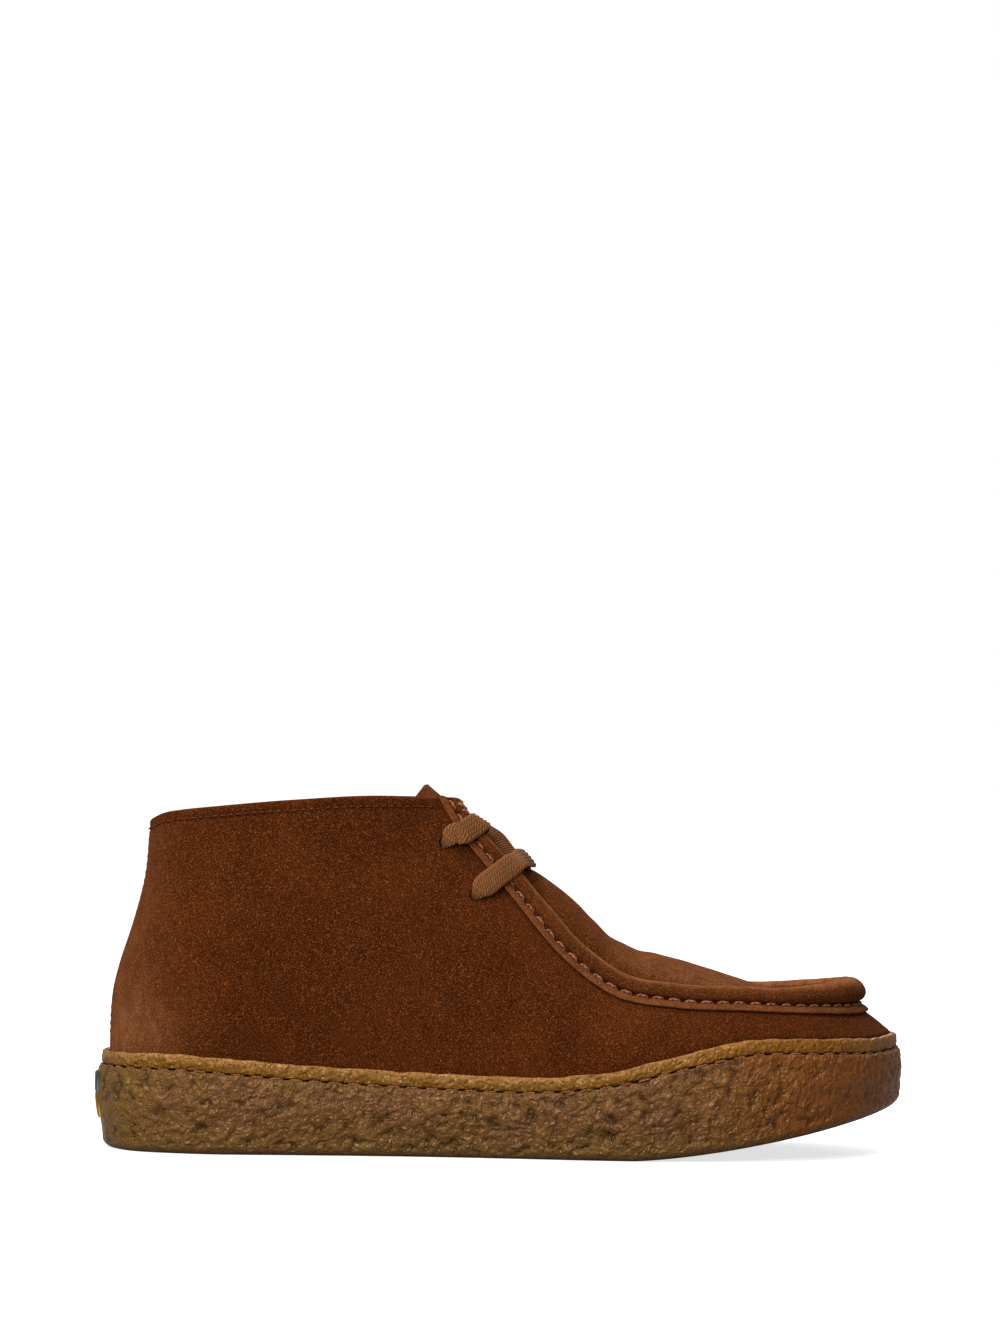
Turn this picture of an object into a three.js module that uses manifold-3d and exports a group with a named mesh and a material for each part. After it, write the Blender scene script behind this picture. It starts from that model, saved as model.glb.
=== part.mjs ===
// Ankle boot of suede on a crepe-textured rubber cup sole: a right shoe with a raised moccasin seam,
// standing empty on its sole. The wall of the upper is a ring that rises from the sole to the collar
// and to the seam. The apron and tongue fill the opening that the ring leaves, and the raised seam
// covers the joint between them.
//
// Frame: millimetres, +X towards the toe, +Y towards the inner side of the foot, +Z up.
// Origin: on the floor, at the middle of the sole's length and width.

import * as THREE from "three";
import { mergeVertices } from "three/addons/utils/BufferGeometryUtils.js";
import Module from "manifold-3d";

const wasm = await Module();
wasm.setup();

// Driving dimensions of the sole
const soleLength = 300;
const soleWidth = 112;
const rimHeight = 44.8; // top of the band above the floor, at the toe
const toeSpring = 18.6; // rise of the sole's underside at the tip
const ballBreak = 102; // length of the sole, back from the tip, that is off the floor
const heelBase = 20; // rubber under the insole at the heel
const foreBase = 11; // rubber under the insole at the ball and toe
const soleEdgeRound = 4.5; // rounding between the underside and the side
const heelSwell = 2.4; // how far the side swells out over its foot, at the heel
const toeSwell = 1; // and at the toe
const ledgeWidth = 2; // step from the sole's widest line in to the band
const sideTopRound = 3.2; // height over which the side rounds in to the ledge
const sideTopInset = 1.2; // and how far it comes in there

// Driving dimensions of the band above the stitch line
const bandWall = 2.4;
const bandHeight = 5.7;
const bandTopRound = 0.9;
const bandFootRound = 0.3;

// Driving dimensions of the upper
const collarHeight = 131; // collar above the floor, at the front corners
const upperWall = 2.2;
const apronWall = 2.3;
const seamTuck = 3; // the apron's edge under the wall, round the vamp
const tongueTuck = 9; // the tongue's edge under the wall, at the collar
const tongueRise = 10.5; // the tongue's length above the collar's front corners
const eyeletDiameter = 4.6;

// Driving dimensions of the raised seam
const flangeWidth = 5.8;
const flangeThickness = 1.7;
const grooveOffset = 1.8; // groove between flange and roll, down from the wall's top edge
const rollAtCollar = 3.4; // width of the roll where it starts, at the collar
const rollAtVamp = 6.4; // along the sides of the vamp
const rollAtToe = 10.2; // and round the tip of the toe, where it stands highest
const rollDepth = 0.76; // its thickness, out from the wall, as a share of its width
const seamLift = 0.55; // underside of the seam above the wall's outer face

// Driving dimensions of the insole and laces
const insoleThickness = 4.5;
const insoleRound = 1.2;
const laceWidth = 7.6;
const laceThickness = 1.5;
const laceSlack = 0.4; // how loosely the laces lie on what they cross

// Clearance between pieces that meet
const clearance = 0.3;

// How far the wall's outer face stands in from the sole's outline: ledge, band and clearance.
const upperInset = ledgeWidth + bandWall + clearance;

// Sections round the boot. x and y are the sole's outline, as shares of its length and half width.
// rim is the top of the band, as a share of rimHeight. topX, topY and topZ are the collar or the seam
// line, as shares of length, half width and collarHeight. low, mid and high say how much of the way
// in the wall has come at a quarter, a half and three quarters of its height.
const columns = ["name", "x", "y", "rim", "topX", "topY", "topZ", "low", "mid", "high"];
const heelRow = ["heel back", -0.5, 0.0, 0.806, -0.437, 0.0, 0.927, 0.07, 0.49, 0.87];
const toeRow = ["toe tip", 0.5, 0.06, 1.0, 0.44, 0.06, 0.422, 0.2, 0.44, 0.71];
const outerRows = [
  ["heel round", -0.464, -0.48, 0.812, -0.413, -0.286, 0.951, 0.11, 0.5, 0.85],
  ["heel side", -0.377, -0.715, 0.804, -0.357, -0.473, 0.966, -0.02, 0.32, 0.77],
  ["quarter", -0.253, -0.752, 0.741, -0.257, -0.575, 0.986, -0.12, 0.1, 0.58],
  ["collar", -0.167, -0.759, 0.708, -0.163, -0.54, 0.999, -0.08, 0.1, 0.48],
  ["corner", -0.093, -0.786, 0.685, -0.063, -0.32, 0.998, 0.0, 0.13, 0.42],
  ["eyelet", -0.033, -0.827, 0.672, -0.038, -0.332, 0.903, 0.01, 0.16, 0.46],
  ["throat", 0.027, -0.88, 0.665, 0.014, -0.366, 0.757, 0.03, 0.19, 0.5],
  ["instep", 0.083, -0.938, 0.683, 0.073, -0.455, 0.592, 0.04, 0.21, 0.52],
  ["rear vamp", 0.14, -0.982, 0.732, 0.133, -0.545, 0.482, 0.06, 0.24, 0.55],
  ["vamp", 0.22, -1.0, 0.866, 0.213, -0.634, 0.441, 0.08, 0.28, 0.58],
  ["front vamp", 0.303, -0.955, 0.984, 0.29, -0.657, 0.434, 0.12, 0.34, 0.62],
  ["toe side", 0.393, -0.795, 0.993, 0.359, -0.56, 0.427, 0.16, 0.39, 0.67],
  ["toe round", 0.463, -0.455, 0.98, 0.418, -0.305, 0.424, 0.19, 0.43, 0.7],
];
const innerRows = [
  ["heel round", -0.464, 0.47, 0.812, -0.413, 0.286, 0.951, 0.11, 0.5, 0.85],
  ["heel side", -0.377, 0.69, 0.804, -0.357, 0.473, 0.966, -0.02, 0.32, 0.77],
  ["quarter", -0.253, 0.705, 0.741, -0.257, 0.56, 0.986, -0.12, 0.1, 0.58],
  ["collar", -0.167, 0.7, 0.708, -0.163, 0.525, 0.999, -0.08, 0.1, 0.48],
  ["corner", -0.093, 0.73, 0.685, -0.063, 0.32, 0.998, 0.0, 0.13, 0.42],
  ["eyelet", -0.033, 0.78, 0.672, -0.038, 0.332, 0.903, 0.01, 0.16, 0.46],
  ["throat", 0.027, 0.845, 0.665, 0.014, 0.366, 0.757, 0.03, 0.19, 0.5],
  ["instep", 0.083, 0.905, 0.683, 0.073, 0.455, 0.592, 0.04, 0.21, 0.52],
  ["rear vamp", 0.14, 0.955, 0.732, 0.133, 0.54, 0.478, 0.06, 0.24, 0.55],
  ["vamp", 0.22, 0.997, 0.866, 0.213, 0.63, 0.434, 0.08, 0.28, 0.58],
  ["front vamp", 0.303, 0.985, 0.984, 0.292, 0.665, 0.426, 0.12, 0.34, 0.62],
  ["toe side", 0.396, 0.86, 0.993, 0.362, 0.595, 0.421, 0.16, 0.39, 0.67],
  ["toe round", 0.468, 0.545, 0.98, 0.421, 0.39, 0.422, 0.19, 0.43, 0.7],
];

// Crown of the tongue, instep and apron on the middle line: x as a share of soleLength and z as a
// share of collarHeight.
const crownLine = [
  { x: -0.093, z: 1.024 },
  { x: -0.038, z: 0.935 },
  { x: 0.014, z: 0.826 },
  { x: 0.054, z: 0.774 },
  { x: 0.092, z: 0.706 },
  { x: 0.117, z: 0.654 },
  { x: 0.133, z: 0.608 },
  { x: 0.155, z: 0.584 },
  { x: 0.19, z: 0.561 },
  { x: 0.26, z: 0.518 },
  { x: 0.3, z: 0.489 },
  { x: 0.35, z: 0.455 },
  { x: 0.4, z: 0.433 },
  { x: 0.44, z: 0.418 },
];

// Eyelets, two on each side: the section that each lies on, counted in rows from the heel, and its
// share of the wall's height there.
const eyelets = [
  { name: "upper", row: 5.12, height: 0.845 },
  { name: "lower", row: 6.06, height: 0.745 },
];

const UPWARDS = new THREE.Vector3(0, 0, 1);
const STEPS_PER_ROW = 4;
const MERGE_DISTANCE = 1e-3;

function rowOf(values) {
  const row = {};
  columns.forEach((name, i) => (row[name] = values[i]));
  const half = soleWidth / 2;
  return {
    x: row.x * soleLength,
    y: row.y * half,
    rim: row.rim * rimHeight,
    topX: row.topX * soleLength,
    topY: row.topY * half,
    topZ: row.topZ * collarHeight,
    low: row.low,
    mid: row.mid,
    high: row.high,
    sharp: row.name === "corner",
  };
}

// All sections in order: heel back, outer side, toe tip, inner side back to the heel.
const rows = [heelRow, ...outerRows, toeRow, ...innerRows.slice().reverse()].map(rowOf);
const rowCount = rows.length;
const toeIndex = rowCount / 2;
const cornerIndex = outerRows.findIndex((r) => r[0] === "corner") + 1;
const rowAt = (i) => rows[((i % rowCount) + rowCount) % rowCount];
const gapAfter = (i) => Math.hypot(rowAt(i + 1).x - rowAt(i).x, rowAt(i + 1).y - rowAt(i).y);

const TOP_COLUMNS = ["topX", "topY", "topZ"];

// Slope of a column at row i, per millimetre of outline, seen from the side before or after the row.
function slopeAt(column, i, before) {
  const back = (rowAt(i)[column] - rowAt(i - 1)[column]) / gapAfter(i - 1);
  const ahead = (rowAt(i + 1)[column] - rowAt(i)[column]) / gapAfter(i);
  if (rowAt(i).sharp && TOP_COLUMNS.includes(column)) return before ? back : ahead;
  const total = gapAfter(i - 1) + gapAfter(i);
  return (back * gapAfter(i) + ahead * gapAfter(i - 1)) / total;
}

// Value of a column at a place round the boot, counted in rows, on a smooth curve through the rows.
function along(column, place) {
  const i = Math.floor(place);
  const f = place - i;
  const gap = gapAfter(i);
  const start = slopeAt(column, i, false) * gap;
  const end = slopeAt(column, i + 1, true) * gap;
  const a = rowAt(i)[column];
  const b = rowAt(i + 1)[column];
  const f2 = f * f;
  const f3 = f2 * f;
  return (
    (2 * f3 - 3 * f2 + 1) * a + (f3 - 2 * f2 + f) * start + (3 * f2 - 2 * f3) * b + (f3 - f2) * end
  );
}

// Smooth curve through a table of {x, z} rows in shares, read at a length in millimetres.
function crownHeight(x) {
  const share = THREE.MathUtils.clamp(x / soleLength, crownLine[0].x, crownLine.at(-1).x);
  let i = crownLine.findIndex((r) => r.x >= share);
  i = Math.max(1, i);
  const at = (k) => crownLine[THREE.MathUtils.clamp(k, 0, crownLine.length - 1)];
  const slope = (k) => (at(k + 1).z - at(k - 1).z) / (at(k + 1).x - at(k - 1).x);
  const a = at(i - 1);
  const b = at(i);
  const gap = b.x - a.x;
  const f = (share - a.x) / gap;
  const f2 = f * f;
  const f3 = f2 * f;
  const z =
    (2 * f3 - 3 * f2 + 1) * a.z +
    (f3 - 2 * f2 + f) * slope(i - 1) * gap +
    (3 * f2 - 2 * f3) * b.z +
    (f3 - f2) * slope(i) * gap;
  return z * collarHeight;
}

// Rise of the sole's underside: flat to the ball, then steepening to the tip.
function undersideZ(x) {
  const lifted = Math.max(0, (x - (soleLength / 2 - ballBreak)) / ballBreak);
  const steepening = 1.45;
  return toeSpring * lifted ** steepening;
}

// Floor of the cup that the insole lies in.
function cupFloorZ(x) {
  const slopeStart = -0.2 * soleLength;
  const slopeEnd = 0.15 * soleLength;
  const f = THREE.MathUtils.smoothstep(x, slopeStart, slopeEnd);
  return undersideZ(x) + heelBase + (foreBase - heelBase) * f;
}

// The sole's outline moved in, square to itself, by some millimetres.
function outlineAt(place, inset) {
  const step = 0.01;
  const tangent = new THREE.Vector2(
    along("x", place + step) - along("x", place - step),
    along("y", place + step) - along("y", place - step),
  ).normalize();
  return new THREE.Vector2(
    along("x", place) - tangent.y * inset,
    along("y", place) + tangent.x * inset,
  );
}

// How much of the way in the wall has come at a height, from 0 at the band to 1 at the top.
function leanAt(place, height) {
  const knots = [0, along("low", place), along("mid", place), along("high", place), 1];
  const last = knots.length - 1;
  const i = Math.min(last - 1, Math.max(0, Math.floor(height * last)));
  const f = height * last - i;
  const startSlope = i === 0 ? 0 : (knots[i + 1] - knots[i - 1]) / 2;
  const endSlope = i === last - 1 ? knots[last] - knots[last - 1] : (knots[i + 2] - knots[i]) / 2;
  const f2 = f * f;
  const f3 = f2 * f;
  return (
    (2 * f3 - 3 * f2 + 1) * knots[i] +
    (f3 - 2 * f2 + f) * startSlope +
    (3 * f2 - 2 * f3) * knots[i + 1] +
    (f3 - f2) * endSlope
  );
}

// Point on the outer face of the upper's wall.
function wallPoint(place, height) {
  const foot = outlineAt(place, upperInset);
  const lean = leanAt(place, height);
  return new THREE.Vector3(
    THREE.MathUtils.lerp(foot.x, along("topX", place), lean),
    THREE.MathUtils.lerp(foot.y, along("topY", place), lean),
    THREE.MathUtils.lerp(along("rim", place), along("topZ", place), height),
  );
}

// Directions on the wall: up its face, along it, and square out of it.
function wallFrame(place, height) {
  const step = 0.02;
  const high = Math.min(1, height + step);
  const low = Math.max(0, height - step);
  const up = wallPoint(place, high).sub(wallPoint(place, low)).normalize();
  const run = wallPoint(place + step, height).sub(wallPoint(place - step, height)).normalize();
  const out = new THREE.Vector3().crossVectors(run, up).normalize();
  return { up, run, out, square: new THREE.Vector3().crossVectors(out, run).normalize() };
}

// A point beside the wall: depth is measured out of its face.
function besideWall(place, height, depth) {
  return wallPoint(place, height).addScaledVector(wallFrame(place, height).out, depth);
}

// Geometry from points and triangles, with its faces turned outwards.
function geometryOf(points, triangles) {
  let volume = 0;
  for (const [a, b, c] of triangles)
    volume += points[a].dot(new THREE.Vector3().crossVectors(points[b], points[c]));
  const index = triangles.flatMap(([a, b, c]) => (volume < 0 ? [a, c, b] : [a, b, c]));
  const geometry = new THREE.BufferGeometry();
  geometry.setAttribute(
    "position",
    new THREE.Float32BufferAttribute(
      points.flatMap((p) => p.toArray()),
      3,
    ),
  );
  geometry.setIndex(index);
  return geometry;
}

// Rings of equal count joined one to the next. The two ends are closed across, from each point to the
// one opposite it, or the last ring joins the first.
function ringSolid(rings, joined) {
  const count = rings[0].length;
  const points = rings.flat();
  const triangles = [];
  const id = (ring, i) => (ring % rings.length) * count + (i % count);
  const spans = joined ? rings.length : rings.length - 1;
  for (let r = 0; r < spans; r++)
    for (let i = 0; i < count; i++) {
      triangles.push([id(r, i), id(r, i + 1), id(r + 1, i + 1)]);
      triangles.push([id(r, i), id(r + 1, i + 1), id(r + 1, i)]);
    }
  if (!joined)
    for (const [ring, flip] of [
      [0, true],
      [rings.length - 1, false],
    ])
      for (let i = 0; i < count / 2; i++) {
        const quad = [id(ring, i), id(ring, i + 1), id(ring, count - i - 1), id(ring, count - i)];
        const halves = [
          [quad[0], quad[1], quad[2]],
          [quad[0], quad[2], quad[3]],
        ];
        for (const half of halves) {
          if (new Set(half).size < 3) continue;
          triangles.push(flip ? half.slice().reverse() : half);
        }
      }
  return geometryOf(points, triangles);
}

// Equal closed sections joined one to the next, with flat ends cut into the given triangles.
function sweptSolid(sections, endTriangles) {
  const count = sections[0].length;
  const points = sections.flat();
  const triangles = [];
  for (let s = 0; s < sections.length - 1; s++)
    for (let i = 0; i < count; i++) {
      const a = s * count + i;
      const b = s * count + ((i + 1) % count);
      triangles.push([a, b, b + count], [a, b + count, a + count]);
    }
  const last = (sections.length - 1) * count;
  for (const [a, b, c] of endTriangles) {
    triangles.push([c, b, a]);
    triangles.push([last + a, last + b, last + c]);
  }
  return geometryOf(points, triangles);
}

// Triangles of a flat outline, given as [x, y] pairs, turned the same way as the outline runs.
function fillOutline(outline) {
  const contour = outline.map(([x, y]) => new THREE.Vector2(x, y));
  const triangles = THREE.ShapeUtils.triangulateShape(contour, []);
  const areaOf = (corners) => THREE.ShapeUtils.area(corners);
  const sameWay = areaOf(triangles[0].map((i) => contour[i])) * areaOf(contour) > 0;
  return triangles.map((t) => (sameWay ? t : t.slice().reverse()));
}

// Triangles that close the end of a sheet whose section is its outer line and then its inner line back.
function fillSheetEnd(lineCount) {
  const triangles = [];
  for (let j = 0; j < lineCount - 1; j++) {
    const inner = 2 * lineCount - 1 - j;
    triangles.push([j, j + 1, inner], [j + 1, inner - 1, inner]);
  }
  return triangles;
}

// Booleans on closed geometries
function manifoldOf(geometry) {
  const bare = geometry.clone();
  for (const name of Object.keys(bare.attributes)) if (name !== "position") bare.deleteAttribute(name);
  const merged = mergeVertices(bare, MERGE_DISTANCE);
  return new wasm.Manifold(
    new wasm.Mesh({
      numProp: 3,
      vertProperties: new Float32Array(merged.attributes.position.array),
      triVerts: new Uint32Array(merged.index.array),
    }),
  );
}

function geometryFrom(manifold) {
  const mesh = manifold.getMesh();
  const geometry = new THREE.BufferGeometry();
  geometry.setAttribute("position", new THREE.BufferAttribute(mesh.vertProperties, 3));
  geometry.setIndex(new THREE.BufferAttribute(mesh.triVerts, 1));
  return geometry;
}

// Places round the boot at which rings have their points
const ringPlaces = Array.from({ length: rowCount * STEPS_PER_ROW }, (_, i) => i / STEPS_PER_ROW);

// One ring of a sole piece: its inset from the outline, which may follow the place, and its height.
function outlineRing(inset, heightAt) {
  return ringPlaces.map((place) => {
    const p = outlineAt(place, typeof inset === "function" ? inset(place) : inset);
    return new THREE.Vector3(p.x, p.y, heightAt(place, p.x));
  });
}

const swellAt = (place) => THREE.MathUtils.lerp(heelSwell, toeSwell, along("x", place) / soleLength + 0.5);

const ledgeZ = (place) => along("rim", place) - bandHeight;

// Rubber cup sole: flat underside with toe spring, rounded foot, swelling side, ledge, and the cup
// that takes the upper and the insole.
function outsole() {
  // Rounding at the foot: in and up, as shares of soleEdgeRound.
  const footCurve = [
    { inward: 1, up: 0 },
    { inward: 0.4, up: 0.16 },
    { inward: 0.02, up: 0.62 },
  ];
  // Side: how much of the swell is still to come, at a share of the height to the ledge.
  const sideCurve = [
    { toCome: 0.25, height: 0.38 },
    { toCome: 0, height: 0.62 },
  ];
  const shoulder = { inward: 0.3, down: 0.35 };
  const cupInset = upperInset - clearance;
  const rings = [
    ...footCurve.map(({ inward, up }) =>
      outlineRing(
        (place) => swellAt(place) + soleEdgeRound * inward,
        (place, x) => undersideZ(x) + soleEdgeRound * up,
      ),
    ),
    ...sideCurve.map(({ toCome, height }) =>
      outlineRing(
        (place) => swellAt(place) * toCome,
        (place, x) => THREE.MathUtils.lerp(undersideZ(x), ledgeZ(place), height),
      ),
    ),
    outlineRing(sideTopInset * shoulder.inward, (place) => ledgeZ(place) - sideTopRound * shoulder.down),
    outlineRing(sideTopInset, ledgeZ),
    outlineRing(cupInset, ledgeZ),
    outlineRing(cupInset, (place, x) => cupFloorZ(x)),
  ];
  return ringSolid(rings, false);
}

// Band of lighter rubber that stands on the ledge, sewn through at its foot.
function soleBand() {
  const foot = (place) => ledgeZ(place) + clearance;
  const heightShare = (share) => (place) => THREE.MathUtils.lerp(foot(place), along("rim", place), share);
  const innerInset = upperInset - clearance;
  const rings = [
    outlineRing(innerInset, foot),
    outlineRing(ledgeWidth + bandFootRound, foot),
    outlineRing(ledgeWidth, heightShare(0.35)),
    outlineRing(ledgeWidth, heightShare(0.75)),
    outlineRing(ledgeWidth + bandTopRound, heightShare(1)),
    outlineRing(innerInset, heightShare(1)),
  ];
  return ringSolid(rings, true);
}

// Insole, lying in the cup inside the foot of the upper.
function insole() {
  const inset = upperInset + upperWall + clearance;
  const under = (place, x) => cupFloorZ(x) + clearance;
  const over = (place, x) => cupFloorZ(x) + clearance + insoleThickness;
  return ringSolid(
    [
      outlineRing(inset, under),
      outlineRing(inset, (place, x) => over(place, x) - insoleRound),
      outlineRing(inset + insoleRound, over),
    ],
    false,
  );
}

// Wall of the upper: one hollow ring, open at the collar, throat and apron, and underneath.
function upper() {
  const heights = [0, 0.15, 0.32, 0.5, 0.68, 0.84, 1];
  const outerRings = heights.map((height) => ringPlaces.map((place) => wallPoint(place, height)));
  const innerRings = heights.map((height) =>
    ringPlaces.map((place) => besideWall(place, height, -upperWall)),
  );
  const footZ = (place, x) => cupFloorZ(x) + clearance;
  const rings = [
    outlineRing(upperInset, footZ),
    ...outerRings,
    ...innerRings.reverse(),
    outlineRing(upperInset + upperWall, footZ),
  ];
  let wall = manifoldOf(ringSolid(rings, true));
  const sides = [(row) => row, (row) => rowCount - row];
  for (const side of sides)
    for (const eyelet of eyelets) {
      const place = side(eyelet.row);
      const punch = new THREE.CylinderGeometry(eyeletDiameter / 2, eyeletDiameter / 2, 4 * upperWall, 8);
      const out = wallFrame(place, eyelet.height).out;
      const turn = new THREE.Quaternion().setFromUnitVectors(new THREE.Vector3(0, 1, 0), out);
      const centre = besideWall(place, eyelet.height, -upperWall / 2);
      punch.applyMatrix4(new THREE.Matrix4().compose(centre, turn, new THREE.Vector3(1, 1, 1)));
      wall = wall.subtract(manifoldOf(punch));
    }
  return geometryFrom(wall);
}

// How wide the apron and tongue run on under the wall at a place.
function tuckAt(place) {
  const fromCorner = Math.abs(Math.min(place, rowCount - place) - cornerIndex);
  const throatRows = 4;
  return THREE.MathUtils.lerp(tongueTuck, seamTuck, THREE.MathUtils.smoothstep(fromCorner, 0, throatRows));
}

// One cross line of the apron's outer face, from its outer edge over the crown to its inner edge.
function apronLine(place) {
  const opposite = rowCount - place;
  const depth = -(upperWall + 1.5 * clearance);
  const wallHeight = (p) => along("topZ", p) - along("rim", p);
  const tucked = (p) => besideWall(p, 1 - tuckAt(p) / wallHeight(p), depth);
  const outerEdge = besideWall(place, 1, depth);
  const innerEdge = besideWall(opposite, 1, depth);
  const crossSteps = 8;
  const roundness = 2.1;
  const line = [tucked(place)];
  for (let j = 0; j <= crossSteps; j++) {
    const across = j / crossSteps;
    const p = outerEdge.clone().lerp(innerEdge, across);
    const lift = crownHeight(p.x) - p.z;
    p.z += lift * (1 - Math.abs(2 * across - 1) ** roundness);
    line.push(p);
  }
  line.push(tucked(opposite));
  return line;
}

// Apron and tongue in one piece, from the toe to just above the collar.
function apronTongue() {
  const lines = [];
  const steps = (toeIndex - cornerIndex) * STEPS_PER_ROW;
  for (let s = 1; s <= steps; s++) lines.push(apronLine(toeIndex - s / STEPS_PER_ROW));
  const topLine = lines.at(-1);
  const riseAtCrown = new THREE.Vector3(-0.74, 0, 0.67);
  const riseAtEdge = new THREE.Vector3(-1.25, 0, 0);
  const middle = (topLine.length - 1) / 2;
  const tip = topLine.map((p, j) => {
    const fromMiddle = Math.abs(j - middle) / middle;
    return p.clone().addScaledVector(riseAtCrown.clone().lerp(riseAtEdge, fromMiddle ** 2), tongueRise);
  });
  lines.push(tip);
  const count = topLine.length;
  const at = (s, j) => {
    const line = lines[THREE.MathUtils.clamp(s, 0, lines.length - 1)];
    return line[THREE.MathUtils.clamp(j, 0, count - 1)];
  };
  const sections = lines.map((line, s) => {
    const inner = line.map((p, j) => {
      const run = at(s + 1, j).clone().sub(at(s - 1, j));
      const across = at(s, j + 1).clone().sub(at(s, j - 1));
      const down = new THREE.Vector3().crossVectors(run, across).normalize();
      return p.clone().addScaledVector(down, down.z > 0 ? -apronWall : apronWall);
    });
    return [...line, ...inner.reverse()];
  });
  return sweptSolid(sections, fillSheetEnd(count));
}

// Diameter of the seam's roll at a place: slim at the collar, fuller along the vamp, fullest at the toe.
function rollAt(place) {
  const growingRows = 3;
  const fromCorner = Math.min(place, rowCount - place) - cornerIndex;
  const fromToe = Math.abs(place - toeIndex);
  const alongSide = THREE.MathUtils.smoothstep(fromCorner, 0, growingRows);
  const side = THREE.MathUtils.lerp(rollAtCollar, rollAtVamp, alongSide);
  return THREE.MathUtils.lerp(rollAtToe, side, THREE.MathUtils.smoothstep(fromToe, 0, growingRows));
}

// Section of the raised seam. Across is measured from the wall's top edge towards the apron, and out
// from the wall's outer face: first the flange on the wall, then the groove, then the roll.
function seamOutline(place) {
  const width = rollAt(place) / 2;
  const depth = width * rollDepth;
  const centre = [width - grooveOffset, seamLift + depth];
  const bevel = 0.5;
  const outline = [
    [-flangeWidth, seamLift],
    [-flangeWidth, flangeThickness - bevel],
    [-flangeWidth + bevel, flangeThickness],
    [-grooveOffset - bevel, flangeThickness],
  ];
  const rollSteps = 7;
  const start = 200;
  const end = -70;
  for (let i = 0; i <= rollSteps; i++) {
    const angle = THREE.MathUtils.degToRad(start + ((end - start) * i) / rollSteps);
    outline.push([centre[0] + width * Math.cos(angle), centre[1] + depth * Math.sin(angle)]);
  }
  return outline;
}

// A point out from the wall's outer face, found from the x and z of a point near it. The search starts
// from a place in rows, and it keeps to that side of the boot.
function outFromFace(target, near, outward) {
  const reach = 1.5;
  const heightFor = (place) => {
    const foot = along("rim", place);
    return Math.min(1, (target.z - foot) / (along("topZ", place) - foot));
  };
  const towardsToe = near < toeIndex ? 1 : -1;
  let behind = near - reach * towardsToe;
  let ahead = near + reach * towardsToe;
  const halvings = 24;
  for (let i = 0; i < halvings; i++) {
    const middle = (behind + ahead) / 2;
    if (wallPoint(middle, heightFor(middle)).x < target.x) behind = middle;
    else ahead = middle;
  }
  const place = (behind + ahead) / 2;
  return besideWall(place, heightFor(place), outward);
}

// Raised seam, from one front corner of the collar round the toe to the other. The flange lies on the
// wall. The ends are cut level with the collar, so there the section leans along the seam.
function raisedSeam() {
  const sections = [];
  const steps = 2 * (toeIndex - cornerIndex) * STEPS_PER_ROW;
  const endMargin = 0.1;
  const first = cornerIndex + endMargin;
  const last = rowCount - cornerIndex - endMargin;
  const endSlant = 0.8;
  const slantRows = 1.2;
  const toeRows = 3;
  for (let s = 0; s <= steps; s++) {
    const place = THREE.MathUtils.lerp(first, last, s / steps);
    const { up, run, out, square } = wallFrame(place, 1);
    const edge = wallPoint(place, 1);
    const wallHeight = along("topZ", place) - along("rim", place);
    const fade = (rowsIn) => endSlant * (1 - THREE.MathUtils.smoothstep(rowsIn, 0, slantRows));
    const slant = fade(place - first) - fade(last - place);
    sections.push(
      seamOutline(place).map(([across, outward]) => {
        const beside = edge.clone().addScaledVector(square, across).addScaledVector(run, slant * across);
        if (across > -grooveOffset) return beside.addScaledVector(out, outward);
        if (Math.abs(place - toeIndex) > toeRows) return outFromFace(beside, place, outward);
        return besideWall(place, 1 + (across * up.z) / wallHeight, outward);
      }),
    );
  }
  return sweptSolid(sections, fillOutline(seamOutline(toeIndex)));
}

// A flat ribbon along a smooth path. Each stop gives a point and the direction that the ribbon faces.
function ribbon(stops, steps) {
  const path = new THREE.CatmullRomCurve3(stops.map((s) => s.point));
  const facing = new THREE.CatmullRomCurve3(stops.map((s) => s.face));
  const sections = [];
  for (let i = 0; i <= steps; i++) {
    const t = i / steps;
    const point = path.getPoint(t);
    const run = path.getTangent(t);
    const face = facing.getPoint(t);
    const side = new THREE.Vector3().crossVectors(run, face).normalize();
    const out = new THREE.Vector3().crossVectors(side, run).normalize();
    const corner = (w, h) =>
      point
        .clone()
        .addScaledVector(side, (w * laceWidth) / 2)
        .addScaledVector(out, (h * laceThickness) / 2);
    sections.push([corner(-1, -1), corner(1, -1), corner(1, 1), corner(-1, 1)]);
  }
  return sweptSolid(sections, [
    [0, 1, 2],
    [0, 2, 3],
  ]);
}

// Lift of a lace's middle line over a face that it lies on
const laceLift = laceThickness / 2 + clearance;

// Stops of a lace from an eyelet over the raised seam of one side. The place where it crosses the seam
// is counted in rows from the heel on the outer side.
function overSeam(eyelet, crossing, side) {
  const place = side(eyelet.row);
  const seamPlace = side(crossing);
  const wall = wallFrame(place, eyelet.height);
  const seam = wallFrame(seamPlace, 1);
  const edge = wallPoint(seamPlace, 1);
  const roll = rollAt(seamPlace);
  const crest = seamLift + roll * rollDepth + laceLift;
  const onSeam = (across, outward) =>
    edge.clone().addScaledVector(seam.square, across).addScaledVector(seam.out, outward);
  const beforeCrest = 0.35 * roll - grooveOffset;
  const pastCrest = roll - grooveOffset;
  const towardsUp = seam.out.clone().lerp(UPWARDS, 0.35).normalize();
  return [
    { point: besideWall(place, eyelet.height, laceLift + laceSlack), face: wall.out },
    { point: onSeam(-flangeWidth, flangeThickness + laceLift + laceSlack), face: seam.out },
    { point: onSeam(beforeCrest, crest + 1.5 * laceSlack), face: seam.out },
    { point: onSeam(pastCrest, crest + laceSlack), face: towardsUp },
  ];
}

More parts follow.
